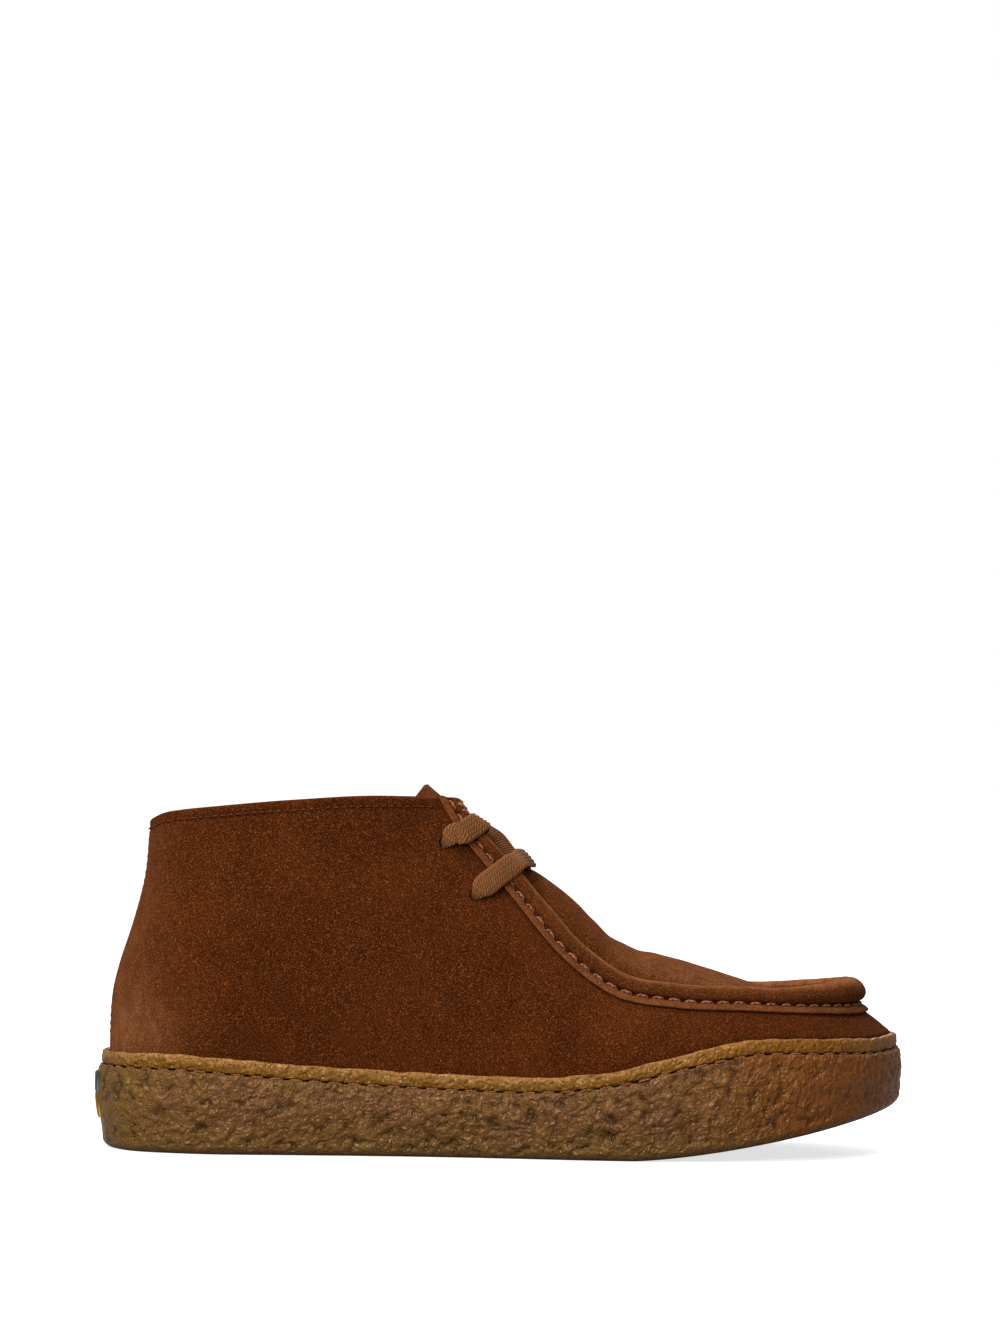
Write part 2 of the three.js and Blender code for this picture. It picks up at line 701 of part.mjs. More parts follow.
// Laces over the throat: one bar between the lower eyelets, and from each upper eyelet an end that
// turns down the tongue and is tucked under the bar.
function lace() {
  const outerSide = (row) => row;
  const innerSide = (row) => rowCount - row;
  const [upperEyelet, lowerEyelet] = eyelets;
  const barCrossing = 6.8;
  const endCrossing = 6.05;
  const barX = 0.035 * soleLength;
  const overEnds = laceLift + laceThickness + 3 * laceSlack;
  const pressedIn = 0.2 * laceThickness;
  const underBar = overEnds - laceThickness + pressedIn;
  const crownPoint = (x, y, lift) => new THREE.Vector3(x, y, crownHeight(x) + lift);
  const downTongue = new THREE.Vector3(0.62, 0, 0.78);
  const bar = ribbon(
    [
      ...overSeam(lowerEyelet, barCrossing, outerSide),
      { point: crownPoint(barX, 0, overEnds), face: downTongue },
      ...overSeam(lowerEyelet, barCrossing, innerSide).reverse(),
    ],
    24,
  );
  // The ends' places on the tongue: x as a share of soleLength, and millimetres beside the middle line.
  const bend = { x: -0.012, beside: 8.5 };
  const slide = { x: 0.014, beside: 4.5 };
  const tucked = { x: 0.035, beside: 3.8 };
  const endOf = (side, towards) => {
    const on = ({ x, beside }, lift) => crownPoint(x * soleLength, beside * towards, lift);
    const sidewards = new THREE.Vector3(0.45, 0.35 * towards, 0.82).normalize();
    return ribbon(
      [
        ...overSeam(upperEyelet, endCrossing, side),
        { point: on(bend, laceLift + 2.5 * laceSlack), face: sidewards },
        { point: on(slide, laceLift + 1.5 * laceSlack), face: downTongue },
        { point: on(tucked, underBar), face: downTongue },
      ],
      18,
    );
  };
  const outerEnd = manifoldOf(endOf(outerSide, -1));
  const innerEnd = manifoldOf(endOf(innerSide, 1));
  return geometryFrom(manifoldOf(bar).add(outerEnd).add(innerEnd));
}

// Finishes
const finish = (color, roughness) => new THREE.MeshStandardMaterial({ color, roughness, metalness: 0 });
const brownSuede = finish(0x6b3b1d, 0.95);
const apronSuede = finish(0x7a4626, 0.95);
const crepeRubber = finish(0x6c4a2b, 0.55);
const amberRubber = finish(0x94692f, 0.5);
const tanLeather = finish(0xb08a5f, 0.8);
const lacing = finish(0x86552f, 0.9);

const boot = new THREE.Group();
const add = (name, geometry, material) => {
  const mesh = new THREE.Mesh(geometry, material);
  mesh.name = name;
  boot.add(mesh);
};
add("outsole", outsole(), crepeRubber);
add("sole_band", soleBand(), amberRubber);
add("insole", insole(), tanLeather);
add("upper", upper(), brownSuede);
add("apron_tongue", apronTongue(), apronSuede);
add("raised_seam", raisedSeam(), brownSuede);
add("lace", lace(), lacing);

export default boot;
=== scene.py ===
"""Suede ankle boot with a raised moccasin seam, on a sewn cup sole of crepe rubber.

A right shoe that stands empty on its sole. Metres, +X to the toe, +Y to the inner side of the foot,
+Z up, origin on the floor at the middle of the sole. Places round the boot are counted in rows of the
section table: from the heel back along the outer side to the toe, and back along the inner side.
"""

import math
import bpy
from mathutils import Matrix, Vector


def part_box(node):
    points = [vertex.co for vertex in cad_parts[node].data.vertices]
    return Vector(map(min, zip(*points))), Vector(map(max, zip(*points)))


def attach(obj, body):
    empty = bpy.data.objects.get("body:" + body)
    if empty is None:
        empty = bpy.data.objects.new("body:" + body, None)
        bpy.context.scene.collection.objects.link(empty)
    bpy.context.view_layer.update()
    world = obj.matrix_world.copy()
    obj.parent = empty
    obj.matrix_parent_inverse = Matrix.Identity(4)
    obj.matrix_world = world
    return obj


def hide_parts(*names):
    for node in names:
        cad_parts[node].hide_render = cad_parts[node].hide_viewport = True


bl_info = {
    "name": "Suede ankle boot",
    "version": (1, 0, 0),
    "blender": (4, 5, 0),
    "location": "3D View > Sidebar > Boot",
    "description": "Makes a suede ankle boot on a crepe cup sole, with its floor, lights and camera",
    "category": "Add Mesh",
}

import bpy
import numpy as np
from bpy.props import FloatProperty, FloatVectorProperty, IntProperty, PointerProperty
from mathutils import Matrix, Vector

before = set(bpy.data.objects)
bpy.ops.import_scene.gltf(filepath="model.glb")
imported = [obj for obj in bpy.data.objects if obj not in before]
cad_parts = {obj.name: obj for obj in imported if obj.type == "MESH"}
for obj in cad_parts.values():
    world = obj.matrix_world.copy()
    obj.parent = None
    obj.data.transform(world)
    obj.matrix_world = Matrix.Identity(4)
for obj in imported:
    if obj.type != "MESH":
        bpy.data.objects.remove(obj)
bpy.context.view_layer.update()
BODY = "root"
MM = 0.001

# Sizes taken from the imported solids
SOLE_LOW, SOLE_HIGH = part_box("outsole")
SOLE_LENGTH = SOLE_HIGH.x - SOLE_LOW.x
HALF_WIDTH = (SOLE_HIGH.y - SOLE_LOW.y) / 2
RIM_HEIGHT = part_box("sole_band")[1].z
TOP_SHARE = 0.999
COLLAR_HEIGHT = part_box("upper")[1].z / TOP_SHARE

# Sole and band
TOE_SPRING = 18.6 * MM
BALL_BREAK = 102 * MM
SPRING_STEEPENING = 1.45
HEEL_BASE = 20 * MM
FORE_BASE = 11 * MM
EDGE_ROUND = 4.5 * MM
HEEL_SWELL = 2.4 * MM
TOE_SWELL = 1 * MM
LEDGE_WIDTH = 2 * MM
SIDE_TOP_ROUND = 3.2 * MM
SIDE_TOP_INSET = 1.2 * MM
BAND_WALL = 2.4 * MM
BAND_HEIGHT = 5.7 * MM
CLEARANCE = 0.3 * MM
UPPER_INSET = LEDGE_WIDTH + BAND_WALL + CLEARANCE
CUP_INSET = UPPER_INSET - CLEARANCE

# Upper, apron, seam and footbed
UPPER_WALL = 2.2 * MM
APRON_WALL = 2.3 * MM
SEAM_TUCK = 3 * MM
TONGUE_TUCK = 9 * MM
TONGUE_RISE = 10.5 * MM
EYELET_RADIUS = 2.3 * MM
FLANGE_WIDTH = 5.8 * MM
FLANGE_THICKNESS = 1.7 * MM
GROOVE_OFFSET = 1.8 * MM
ROLL_AT_COLLAR = 3.4 * MM
ROLL_AT_VAMP = 6.4 * MM
ROLL_AT_TOE = 10.2 * MM
ROLL_GROWING_ROWS = 3
ROLL_DEPTH = 0.76
SEAM_LIFT = 0.55 * MM
STEM_PLACE = 0.35 * MM
STEM_FOOT = -1 * MM
FOOTBED_THICKNESS = 4.5 * MM

# Sections round the boot: the sole's outline x and y as shares of its length and half width, the rim
# as a share of the band's height, the collar or seam line as shares of length, half width and collar
# height, and how far in the wall has come at a quarter, a half and three quarters of its height.
COLUMNS = ("x", "y", "rim", "top_x", "top_y", "top_z", "low", "mid", "high")
HEEL_BACK = (-0.5, 0.0, 0.806, -0.437, 0.0, 0.927, 0.07, 0.49, 0.87)
TOE_TIP = (0.5, 0.06, 1.0, 0.44, 0.06, 0.422, 0.2, 0.44, 0.71)
OUTER_SIDE = (
    (-0.464, -0.48, 0.812, -0.413, -0.286, 0.951, 0.11, 0.5, 0.85),
    (-0.377, -0.715, 0.804, -0.357, -0.473, 0.966, -0.02, 0.32, 0.77),
    (-0.253, -0.752, 0.741, -0.257, -0.575, 0.986, -0.12, 0.1, 0.58),
    (-0.167, -0.759, 0.708, -0.163, -0.54, 0.999, -0.08, 0.1, 0.48),
    (-0.093, -0.786, 0.685, -0.063, -0.32, 0.998, 0.0, 0.13, 0.42),
    (-0.033, -0.827, 0.672, -0.038, -0.332, 0.903, 0.01, 0.16, 0.46),
    (0.027, -0.88, 0.665, 0.014, -0.366, 0.757, 0.03, 0.19, 0.5),
    (0.083, -0.938, 0.683, 0.073, -0.455, 0.592, 0.04, 0.21, 0.52),
    (0.14, -0.982, 0.732, 0.133, -0.545, 0.482, 0.06, 0.24, 0.55),
    (0.22, -1.0, 0.866, 0.213, -0.634, 0.441, 0.08, 0.28, 0.58),
    (0.303, -0.955, 0.984, 0.29, -0.657, 0.434, 0.12, 0.34, 0.62),
    (0.393, -0.795, 0.993, 0.359, -0.56, 0.427, 0.16, 0.39, 0.67),
    (0.463, -0.455, 0.98, 0.418, -0.305, 0.424, 0.19, 0.43, 0.7),
)
INNER_SIDE = (
    (-0.464, 0.47, 0.812, -0.413, 0.286, 0.951, 0.11, 0.5, 0.85),
    (-0.377, 0.69, 0.804, -0.357, 0.473, 0.966, -0.02, 0.32, 0.77),
    (-0.253, 0.705, 0.741, -0.257, 0.56, 0.986, -0.12, 0.1, 0.58),
    (-0.167, 0.7, 0.708, -0.163, 0.525, 0.999, -0.08, 0.1, 0.48),
    (-0.093, 0.73, 0.685, -0.063, 0.32, 0.998, 0.0, 0.13, 0.42),
    (-0.033, 0.78, 0.672, -0.038, 0.332, 0.903, 0.01, 0.16, 0.46),
    (0.027, 0.845, 0.665, 0.014, 0.366, 0.757, 0.03, 0.19, 0.5),
    (0.083, 0.905, 0.683, 0.073, 0.455, 0.592, 0.04, 0.21, 0.52),
    (0.14, 0.955, 0.732, 0.133, 0.54, 0.478, 0.06, 0.24, 0.55),
    (0.22, 0.997, 0.866, 0.213, 0.63, 0.434, 0.08, 0.28, 0.58),
    (0.303, 0.985, 0.984, 0.292, 0.665, 0.426, 0.12, 0.34, 0.62),
    (0.396, 0.86, 0.993, 0.362, 0.595, 0.421, 0.16, 0.39, 0.67),
    (0.468, 0.545, 0.98, 0.421, 0.39, 0.422, 0.19, 0.43, 0.7),
)
COLUMN_SIZES = (
    SOLE_LENGTH,
    HALF_WIDTH,
    RIM_HEIGHT,
    SOLE_LENGTH,
    HALF_WIDTH,
    COLLAR_HEIGHT,
    1,
    1,
    1,
)
ROWS = np.array((HEEL_BACK, *OUTER_SIDE, TOE_TIP, *INNER_SIDE[::-1])) * COLUMN_SIZES
ROW_COUNT = len(ROWS)
TOE = ROW_COUNT // 2
CORNER = 5
GAPS = np.hypot(*(np.roll(ROWS[:, :2], -1, axis=0) - ROWS[:, :2]).T)

# Crown of tongue, instep and apron on the middle line: x as a share of the length, z of the collar height
CROWN = np.array(
    (
        (-0.093, 1.024),
        (-0.038, 0.935),
        (0.014, 0.826),
        (0.054, 0.774),
        (0.092, 0.706),
        (0.117, 0.654),
        (0.133, 0.608),
        (0.155, 0.584),
        (0.19, 0.561),
        (0.26, 0.518),
        (0.3, 0.489),
        (0.35, 0.455),
        (0.4, 0.433),
        (0.44, 0.418),
    )
) * (SOLE_LENGTH, COLLAR_HEIGHT)

# Eyelets on one side: the row that each lies on and its share of the wall's height there
EYELETS = ((5.12, 0.845), (6.06, 0.745))
EYELET_SPOTS = [(row, height) for row, height in EYELETS]
EYELET_SPOTS += [(ROW_COUNT - row, height) for row, height in EYELETS]


# Curves and sections


def mix(a, b, share):
    """Straight blend from a to b."""
    return a + (b - a) * share


def ease(value, low, high):
    """0 below low, 1 above high, and a smooth cubic step between them."""
    share = np.clip((value - low) / (high - low), 0, 1)
    return share * share * (3 - 2 * share)


def hermite(a, b, start, end, f):
    """Cubic from a to b with the slopes start and end, read at the share f."""
    f2 = f * f
    f3 = f2 * f
    return (2 * f3 - 3 * f2 + 1) * a + (f3 - 2 * f2 + f) * start + (3 * f2 - 2 * f3) * b + (f3 - f2) * end


def unit(vectors):
    """Vectors brought to a length of one."""
    return vectors / np.maximum(np.linalg.norm(vectors, axis=-1, keepdims=True), 1e-12)


def row_slopes():
    """Slopes of every column before and after each row, weighted by the neighbouring gaps.

    The top line has a sharp corner at the front of the collar, so there each side keeps its own slope.
    """
    ahead = (np.roll(ROWS, -1, axis=0) - ROWS) / GAPS[:, None]
    back = np.roll(ahead, 1, axis=0)
    gap_ahead = GAPS[:, None]
    gap_back = np.roll(gap_ahead, 1, axis=0)
    even = (back * gap_ahead + ahead * gap_back) / (gap_ahead + gap_back)
    before = even.copy()
    after = even.copy()
    top = [COLUMNS.index(name) for name in ("top_x", "top_y", "top_z")]
    for row in (CORNER, ROW_COUNT - CORNER):
        before[row, top] = back[row, top]
        after[row, top] = ahead[row, top]
    return before, after


SLOPE_BEFORE, SLOPE_AFTER = row_slopes()


def along(name, place):
    """Value of a column at places round the boot, on the cubic through its rows."""
    place = np.asarray(place, float)
    whole = np.floor(place).astype(int)
    column = COLUMNS.index(name)
    i = whole % ROW_COUNT
    j = (whole + 1) % ROW_COUNT
    start = SLOPE_AFTER[i, column] * GAPS[i]
    end = SLOPE_BEFORE[j, column] * GAPS[i]
    return hermite(ROWS[i, column], ROWS[j, column], start, end, place - whole)


def crown_height(x):
    """Height of the crown line at x, on the cubic through its points."""
    x = np.clip(x, CROWN[0, 0], CROWN[-1, 0])
    i = np.clip(np.searchsorted(CROWN[:, 0], x), 1, len(CROWN) - 1)
    slopes = np.gradient(CROWN[:, 1], CROWN[:, 0])
    gap = CROWN[i, 0] - CROWN[i - 1, 0]
    f = (x - CROWN[i - 1, 0]) / gap
    return hermite(CROWN[i - 1, 1], CROWN[i, 1], slopes[i - 1] * gap, slopes[i] * gap, f)


def underside(x):
    """Height of the sole's underside: flat to the ball, then steepening to the tip."""
    lifted = np.maximum(0, (x - (SOLE_LENGTH / 2 - BALL_BREAK)) / BALL_BREAK)
    return TOE_SPRING * lifted**SPRING_STEEPENING


def cup_floor(x):
    """Height of the cup's floor, sloping from the heel's base down to the ball's."""
    return underside(x) + mix(HEEL_BASE, FORE_BASE, ease(x, -0.2 * SOLE_LENGTH, 0.15 * SOLE_LENGTH))


def outline_at(place, inset):
    """x and y of the sole's outline, moved in square to itself."""
    step = 0.01
    dx = along("x", place + step) - along("x", place - step)
    dy = along("y", place + step) - along("y", place - step)
    size = np.hypot(dx, dy)
    return along("x", place) - dy / size * inset, along("y", place) + dx / size * inset


def swell_at(place):
    """How far the sole's side stands out over its foot, from the heel's value to the toe's."""
    return mix(HEEL_SWELL, TOE_SWELL, along("x", place) / SOLE_LENGTH + 0.5)


def ledge_at(place):
    """Height of the ledge that the band stands on."""
    return along("rim", place) - BAND_HEIGHT


def lean_at(place, height):
    """How far in the wall has come at a share of its height: a cubic through five knots."""
    place, height = np.broadcast_arrays(place, height)
    nothing = np.zeros(place.shape)
    knots = np.stack([nothing, *(along(n, place) for n in ("low", "mid", "high")), nothing + 1])
    last = len(knots) - 1
    slopes = np.concatenate([[nothing], (knots[2:] - knots[:-2]) / 2, [knots[last] - knots[last - 1]]])
    i = np.clip(np.floor(height * last).astype(int), 0, last - 1)
    pick = lambda values, k: np.take_along_axis(values, k[None], axis=0)[0]
    return hermite(pick(knots, i), pick(knots, i + 1), pick(slopes, i), pick(slopes, i + 1), height * last - i)


def wall_point(place, height):
    """Points on the upper's outer face: the foot blended to the top line by the lean."""
    place, height = np.broadcast_arrays(np.asarray(place, float), np.asarray(height, float))
    foot_x, foot_y = outline_at(place, UPPER_INSET)
    lean = lean_at(place, height)
    x = mix(foot_x, along("top_x", place), lean)
    y = mix(foot_y, along("top_y", place), lean)
    z = mix(along("rim", place), along("top_z", place), height)
    return np.stack([x, y, z], axis=-1)


def wall_frame(place, height):
    """Directions on the wall: up its face, along it, square out of it, and square to the run on the face."""
    step = 0.02
    height = np.asarray(height, float)
    up = unit(wall_point(place, np.minimum(1, height + step)) - wall_point(place, np.maximum(0, height - step)))
    run = unit(wall_point(place + step, height) - wall_point(place - step, height))
    out = unit(np.cross(run, up))
    return up, run, out, unit(np.cross(out, run))


def beside_wall(place, height, depth):
    """Points out from the wall's face by a depth."""
    return wall_point(place, height) + wall_frame(place, height)[2] * np.asarray(depth)[..., None]


def wall_rise(place):
    """Height of the wall from the band to its top."""
    return along("top_z", place) - along("rim", place)


def spaced(points, count, closed=False):
    """Share of the index range at which a fine line of points has equal steps of length."""
    lengths = np.concatenate([[0], np.cumsum(np.linalg.norm(np.diff(points, axis=0), axis=1))])
    wanted = np.linspace(0, lengths[-1], count + 1 if closed else count)
    shares = np.interp(wanted, lengths, np.linspace(0, 1, len(lengths)))
    return shares[:-1] if closed else shares


def ring_places(count):
    """Places all round the boot with equal steps along the sole's outline. Count is even."""
    half = count // 2
    sides = []
    for first, last in ((0, TOE), (TOE, ROW_COUNT)):
        fine = np.linspace(first, last, 2001)
        line = np.stack([along("x", fine), along("y", fine)], axis=-1)
        sides.append(mix(first, last, spaced(line, half, closed=True)))
    return np.concatenate(sides)


def crowded(low, high, count, centres, width, boost):
    """Values from low to high that lie closer together near the given centres."""
    fine = np.linspace(low, high, 4001)
    density = np.ones_like(fine)
    for centre in centres:
        density += boost * np.exp(-(((fine - centre) / width) ** 2))
    total = np.concatenate([[0], np.cumsum((density[1:] + density[:-1]) / 2)])
    return np.interp(np.linspace(0, total[-1], count), total, fine)


# Noise, the same on every run


def scatter(cells, seed):
    """Random numbers from 0 to 1 for whole-numbered cells."""
    cells = cells.astype(np.int64).astype(np.uint32)
    number = cells[..., 0] * np.uint32(73856093)
    number ^= cells[..., 1] * np.uint32(19349663)
    number ^= cells[..., 2] * np.uint32(83492791)
    number ^= np.uint32(seed * 7919 + 17)
    number = (number ^ (number >> 13)) * np.uint32(1274126177)
    number = (number ^ (number >> 15)) * np.uint32(2246822519)
    return (number ^ (number >> 16)) / 2.0**32


def cloud(points, size, seed):
    """Soft noise from -1 to 1: random values on a lattice of the given size, blended smoothly."""
    scaled = points / np.asarray(size)
    base = np.floor(scaled)
    f = scaled - base
    f = f * f * (3 - 2 * f)
    total = np.zeros(points.shape[:-1])
    for corner in np.ndindex(2, 2, 2):
        weight = np.prod(np.where(np.array(corner) == 1, f, 1 - f), axis=-1)
        total += weight * scatter(base + corner, seed)
    return total * 2 - 1


def lumps(points, size, seed):
    """Distances to the nearest and the second nearest of scattered spots, in units of the size."""
    scaled = points / np.asarray(size)
    base = np.floor(scaled)
    nearest = np.full(points.shape[:-1], 9.0)
    second = nearest.copy()
    for corner in np.ndindex(3, 3, 3):
        cell = base + np.array(corner) - 1
        spot = cell + np.stack([scatter(cell, seed + k) for k in range(3)], axis=-1)
        distance = np.linalg.norm(scaled - spot, axis=-1)
        second = np.minimum(second, np.maximum(nearest, distance))
        nearest = np.minimum(nearest, distance)
    return nearest, second


# Meshes


def quads(count_u, count_v, closed_u=False, closed_v=False, start=0):
    """Corner numbers of a grid's faces. Its points are numbered along v first."""
    u = np.arange(count_u if closed_u else count_u - 1)
    v = np.arange(count_v if closed_v else count_v - 1)
    u, v = np.meshgrid(u, v, indexing="ij")
    next_u = (u + 1) % count_u
    next_v = (v + 1) % count_v
    corners = (u * count_v + v, next_u * count_v + v, next_u * count_v + next_v, u * count_v + next_v)
    return start + np.stack(corners, axis=-1).reshape(-1, 4)


def shell_volume(points, faces):
    """Six times the volume that the faces enclose, with its sign."""
    total = 0.0
    for group in faces:
        for k in range(1, group.shape[1] - 1):
            a, b, c = points[group[:, 0]], points[group[:, k]], points[group[:, k + 1]]
            total += np.einsum("ij,ij->", a, np.cross(b, c))
    return total


def make_piece(name, points, faces, finishes, replaced=(), tone=None, face_finish=None, uv=None):
    """Puts points and face groups into a mesh with its faces outwards, and lets it ride on the boot.

    tone is one number a point, which a finish may read. face_finish is one finish number a face.
    uv is one pair a point.
    """
    if shell_volume(points, faces) < 0:
        faces = [group[:, ::-1] for group in faces]
    corners = np.concatenate([group.ravel() for group in faces]).astype(np.int32)
    sizes = np.concatenate([np.full(len(group), group.shape[1], np.int32) for group in faces])
    mesh = bpy.data.meshes.new(name)
    mesh.vertices.add(len(points))
    mesh.vertices.foreach_set("co", points.astype(np.float32).ravel())
    mesh.loops.add(len(corners))
    mesh.loops.foreach_set("vertex_index", corners)
    mesh.polygons.add(len(sizes))
    mesh.polygons.foreach_set("loop_start", (np.cumsum(sizes) - sizes).astype(np.int32))
    mesh.polygons.foreach_set("use_smooth", np.ones(len(sizes), bool))
    for finish in finishes:
        mesh.materials.append(finish)
    if face_finish is not None:
        mesh.polygons.foreach_set("material_index", np.concatenate(face_finish).astype(np.int32))
    if tone is not None:
        layer = mesh.attributes.new("tone", "FLOAT", "POINT")
        layer.data.foreach_set("value", np.asarray(tone, np.float32).ravel())
    if uv is not None:
        layer = mesh.uv_layers.new(name="run")
        layer.data.foreach_set("uv", np.asarray(uv, np.float32).reshape(-1, 2)[corners].ravel())
    mesh.update(calc_edges=True)
    mesh.validate()
    piece = bpy.data.objects.new(name, mesh)
    bpy.context.scene.collection.objects.link(piece)
    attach(piece, BODY)
    if replaced:
        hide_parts(*replaced)
    return piece


def cap_across(ring, count, steps, height=None):
    """Closes a ring of points by lines from each point to the one opposite it.

    ring holds the numbers of the ring's points, in order from one end round and back. Gives the new
    points' shares as (near, far, share) and the faces, whose new points are numbered from count on.
    """
    half = len(ring) // 2
    index = np.empty((half + 1, steps + 1), int)
    index[:, 0] = ring[: half + 1]
    index[:, steps] = ring[-np.arange(half + 1)]
    index[0, :] = ring[0]
    index[half, :] = ring[half]
    index[1:half, 1:steps] = count + np.arange((half - 1) * (steps - 1)).reshape(half - 1, steps - 1)
    near = np.repeat(index[1:half, 0], steps - 1)
    far = np.repeat(index[1:half, steps], steps - 1)
    share = np.tile(np.arange(1, steps) / steps, half - 1)
    inner = index[1:half]
    cells = np.stack([inner[:-1, :-1], inner[1:, :-1], inner[1:, 1:], inner[:-1, 1:]], axis=-1).reshape(-1, 4)
    start_fan = np.stack([np.full(steps, ring[0]), index[1, :-1], index[1, 1:]], axis=-1)
    end_fan = np.stack([index[half - 1, :-1], np.full(steps, ring[half]), index[half - 1, 1:]], axis=-1)
    return (near, far, share), cells, np.concatenate([start_fan, end_fan])


# Finishes


def linear(red, green, blue):
    """Scene colour of a screen colour given from 0 to 255."""
    shares = np.array((red, green, blue)) / 255
    return tuple(np.where(shares <= 0.04045, shares / 12.92, ((shares + 0.055) / 1.055) ** 2.4))


class Finish:
    """A material in the making, with short ways to add its nodes."""

    def __init__(self, name, **sockets):
        self.material = bpy.data.materials.new(name)
        self.material.use_nodes = True
        self.nodes = self.material.node_tree.nodes
        self.links = self.material.node_tree.links
        self.shader = self.nodes["Principled BSDF"]
        for socket, value in sockets.items():
            self.shader.inputs[socket.replace("_", " ")].default_value = value
        self.place = self.nodes.new("ShaderNodeTexCoord").outputs["Object"]

    def put(self, kind, inputs=(), **settings):
        """A node with its settings, and values or links for its inputs by name or number."""
        node = self.nodes.new(kind)
        for name, value in settings.items():
            setattr(node, name, value)
        for key, value in dict(inputs).items():
            if isinstance(value, bpy.types.NodeSocket):
                self.links.new(value, node.inputs[key])
            else:
                node.inputs[key].default_value = value
        return node

    def spread(self, size, stretch=(1, 1, 1), place=None):
        """Object coordinates in units of a grain's size."""
        scale = tuple(s / size for s in stretch)
        mapping = self.put("ShaderNodeMapping", {"Scale": scale, "Vector": place or self.place})
        return mapping.outputs["Vector"]

    def noise(self, size, detail=2.0, rough=0.5, stretch=(1, 1, 1), warp=0.0):
        """Noise whose grains have the given size."""
        inputs = {"Vector": self.spread(size, stretch), "Scale": 1.0, "Detail": detail}
        inputs["Roughness"] = rough
        inputs["Distortion"] = warp
        return self.put("ShaderNodeTexNoise", inputs).outputs["Fac"]

    def attribute(self, name):
        """A number that the mesh holds at its points."""
        return self.put("ShaderNodeAttribute", attribute_name=name).outputs["Fac"]

    def spot(self, source, low, high, to_low=0.0, to_high=1.0):
        """Brings values from low to high onto another range."""
        inputs = {"Value": source, "From Min": low, "From Max": high, "To Min": to_low, "To Max": to_high}
        return self.put("ShaderNodeMapRange", inputs, interpolation_type="SMOOTHSTEP").outputs["Result"]

    def blend(self, share, first, second, kind="MIX"):
        """Blends two colours by a share."""
        node = self.nodes.new("ShaderNodeMix")
        node.data_type = "RGBA"
        node.blend_type = kind
        node.clamp_factor = True
        for socket, value in ((node.inputs[0], share), (node.inputs[6], first), (node.inputs[7], second)):
            if isinstance(value, bpy.types.NodeSocket):
                self.links.new(value, socket)
            elif socket.type == "RGBA":
                socket.default_value = (*value, 1.0)
            else:
                socket.default_value = value
        return node.outputs[2]

    def sums(self, first, second, kind="ADD"):
        """Arithmetic on two numbers."""
        return self.put("ShaderNodeMath", {0: first, 1: second}, operation=kind).outputs[0]

    def bump(self, height, depth, below=None, strength=1.0):
        """Raises the face by a height pattern, on top of a bump below it."""
        inputs = {"Height": height, "Distance": depth, "Strength": strength}
        if below is not None:
            inputs["Normal"] = below
        return self.put("ShaderNodeBump", inputs).outputs["Normal"]

    def done(self, colour, normal=None, roughness=None):
        """Links colour, normal and roughness to the shader."""
        self.links.new(colour, self.shader.inputs["Base Color"])
        if normal is not None:
            self.links.new(normal, self.shader.inputs["Normal"])
        if roughness is not None:
            self.links.new(roughness, self.shader.inputs["Roughness"])
        return self.material


def shade(colour, factor):
    """A colour made lighter or darker."""
    return tuple(min(1.0, part * factor) for part in colour)


def suede_finish(name, colour, sheen):
    """Napped suede: soft patches of nap in lighter and darker brown, short fibres in lighter brown, and a sheen at the
    edges. The tone paints light and shade: above 0 a painted highlight and lighter nap, below 0 painted shade.
    """
    finish = Finish(name, Roughness=0.92, Sheen_Weight=sheen, Sheen_Roughness=0.45)
    finish.shader.inputs["Sheen Tint"].default_value = (*linear(190, 108, 58), 1.0)
    finish.shader.inputs["Specular IOR Level"].default_value = 0.03
    patches = finish.spot(finish.noise(26 * MM, 3, 0.55, warp=0.4), 0.34, 0.68)
    strokes = finish.spot(finish.noise(6 * MM, 3, 0.6, (1.6, 1.6, 0.8)), 0.3, 0.72)
    fibres = finish.noise(0.48 * MM, 2, 0.8)
    speckle = finish.spot(fibres, 0.52, 0.72)
    painted_light_and_nap = finish.attribute("tone")
    highlight_and_nap = finish.sums(finish.spot(painted_light_and_nap, 0.0, 1.0), finish.spot(strokes, 0.0, 1.0, 0.6, 1.1), "MULTIPLY")
    tint = finish.blend(patches, shade(colour, 0.8), shade(colour, 1.2))
    tint = finish.blend(finish.sums(strokes, 0.55, "MULTIPLY"), tint, shade(colour, 1.28))
    # Tone above 0 lifts the colour towards pale brown: painted highlight on crests, lit faces and the heel, and lighter
    # nap and cut edges.
    tint = finish.blend(finish.sums(highlight_and_nap, 0.75, "MULTIPLY"), tint, linear(166, 106, 66))
    tint = finish.blend(finish.sums(speckle, 0.9, "MULTIPLY"), tint, shade(linear(164, 98, 50), 0.85), "ADD")
    dark = finish.spot(fibres, 0.5, 0.3)
    tint = finish.blend(finish.sums(dark, 0.85, "MULTIPLY"), tint, (0.3, 0.3, 0.3), "MULTIPLY")
    # Tone below 0 darkens the colour: painted shade in grooves, holes and hollows.
    tint = finish.blend(finish.spot(painted_light_and_nap, 0.0, -1.0, 0.0, 0.75), tint, shade(colour, 0.3))
    normal = finish.bump(finish.noise(3.2 * MM, 3, 0.6), 0.35 * MM, strength=0.5)
    normal = finish.bump(fibres, 0.42 * MM, normal, 0.9)
    return finish.done(tint, normal)


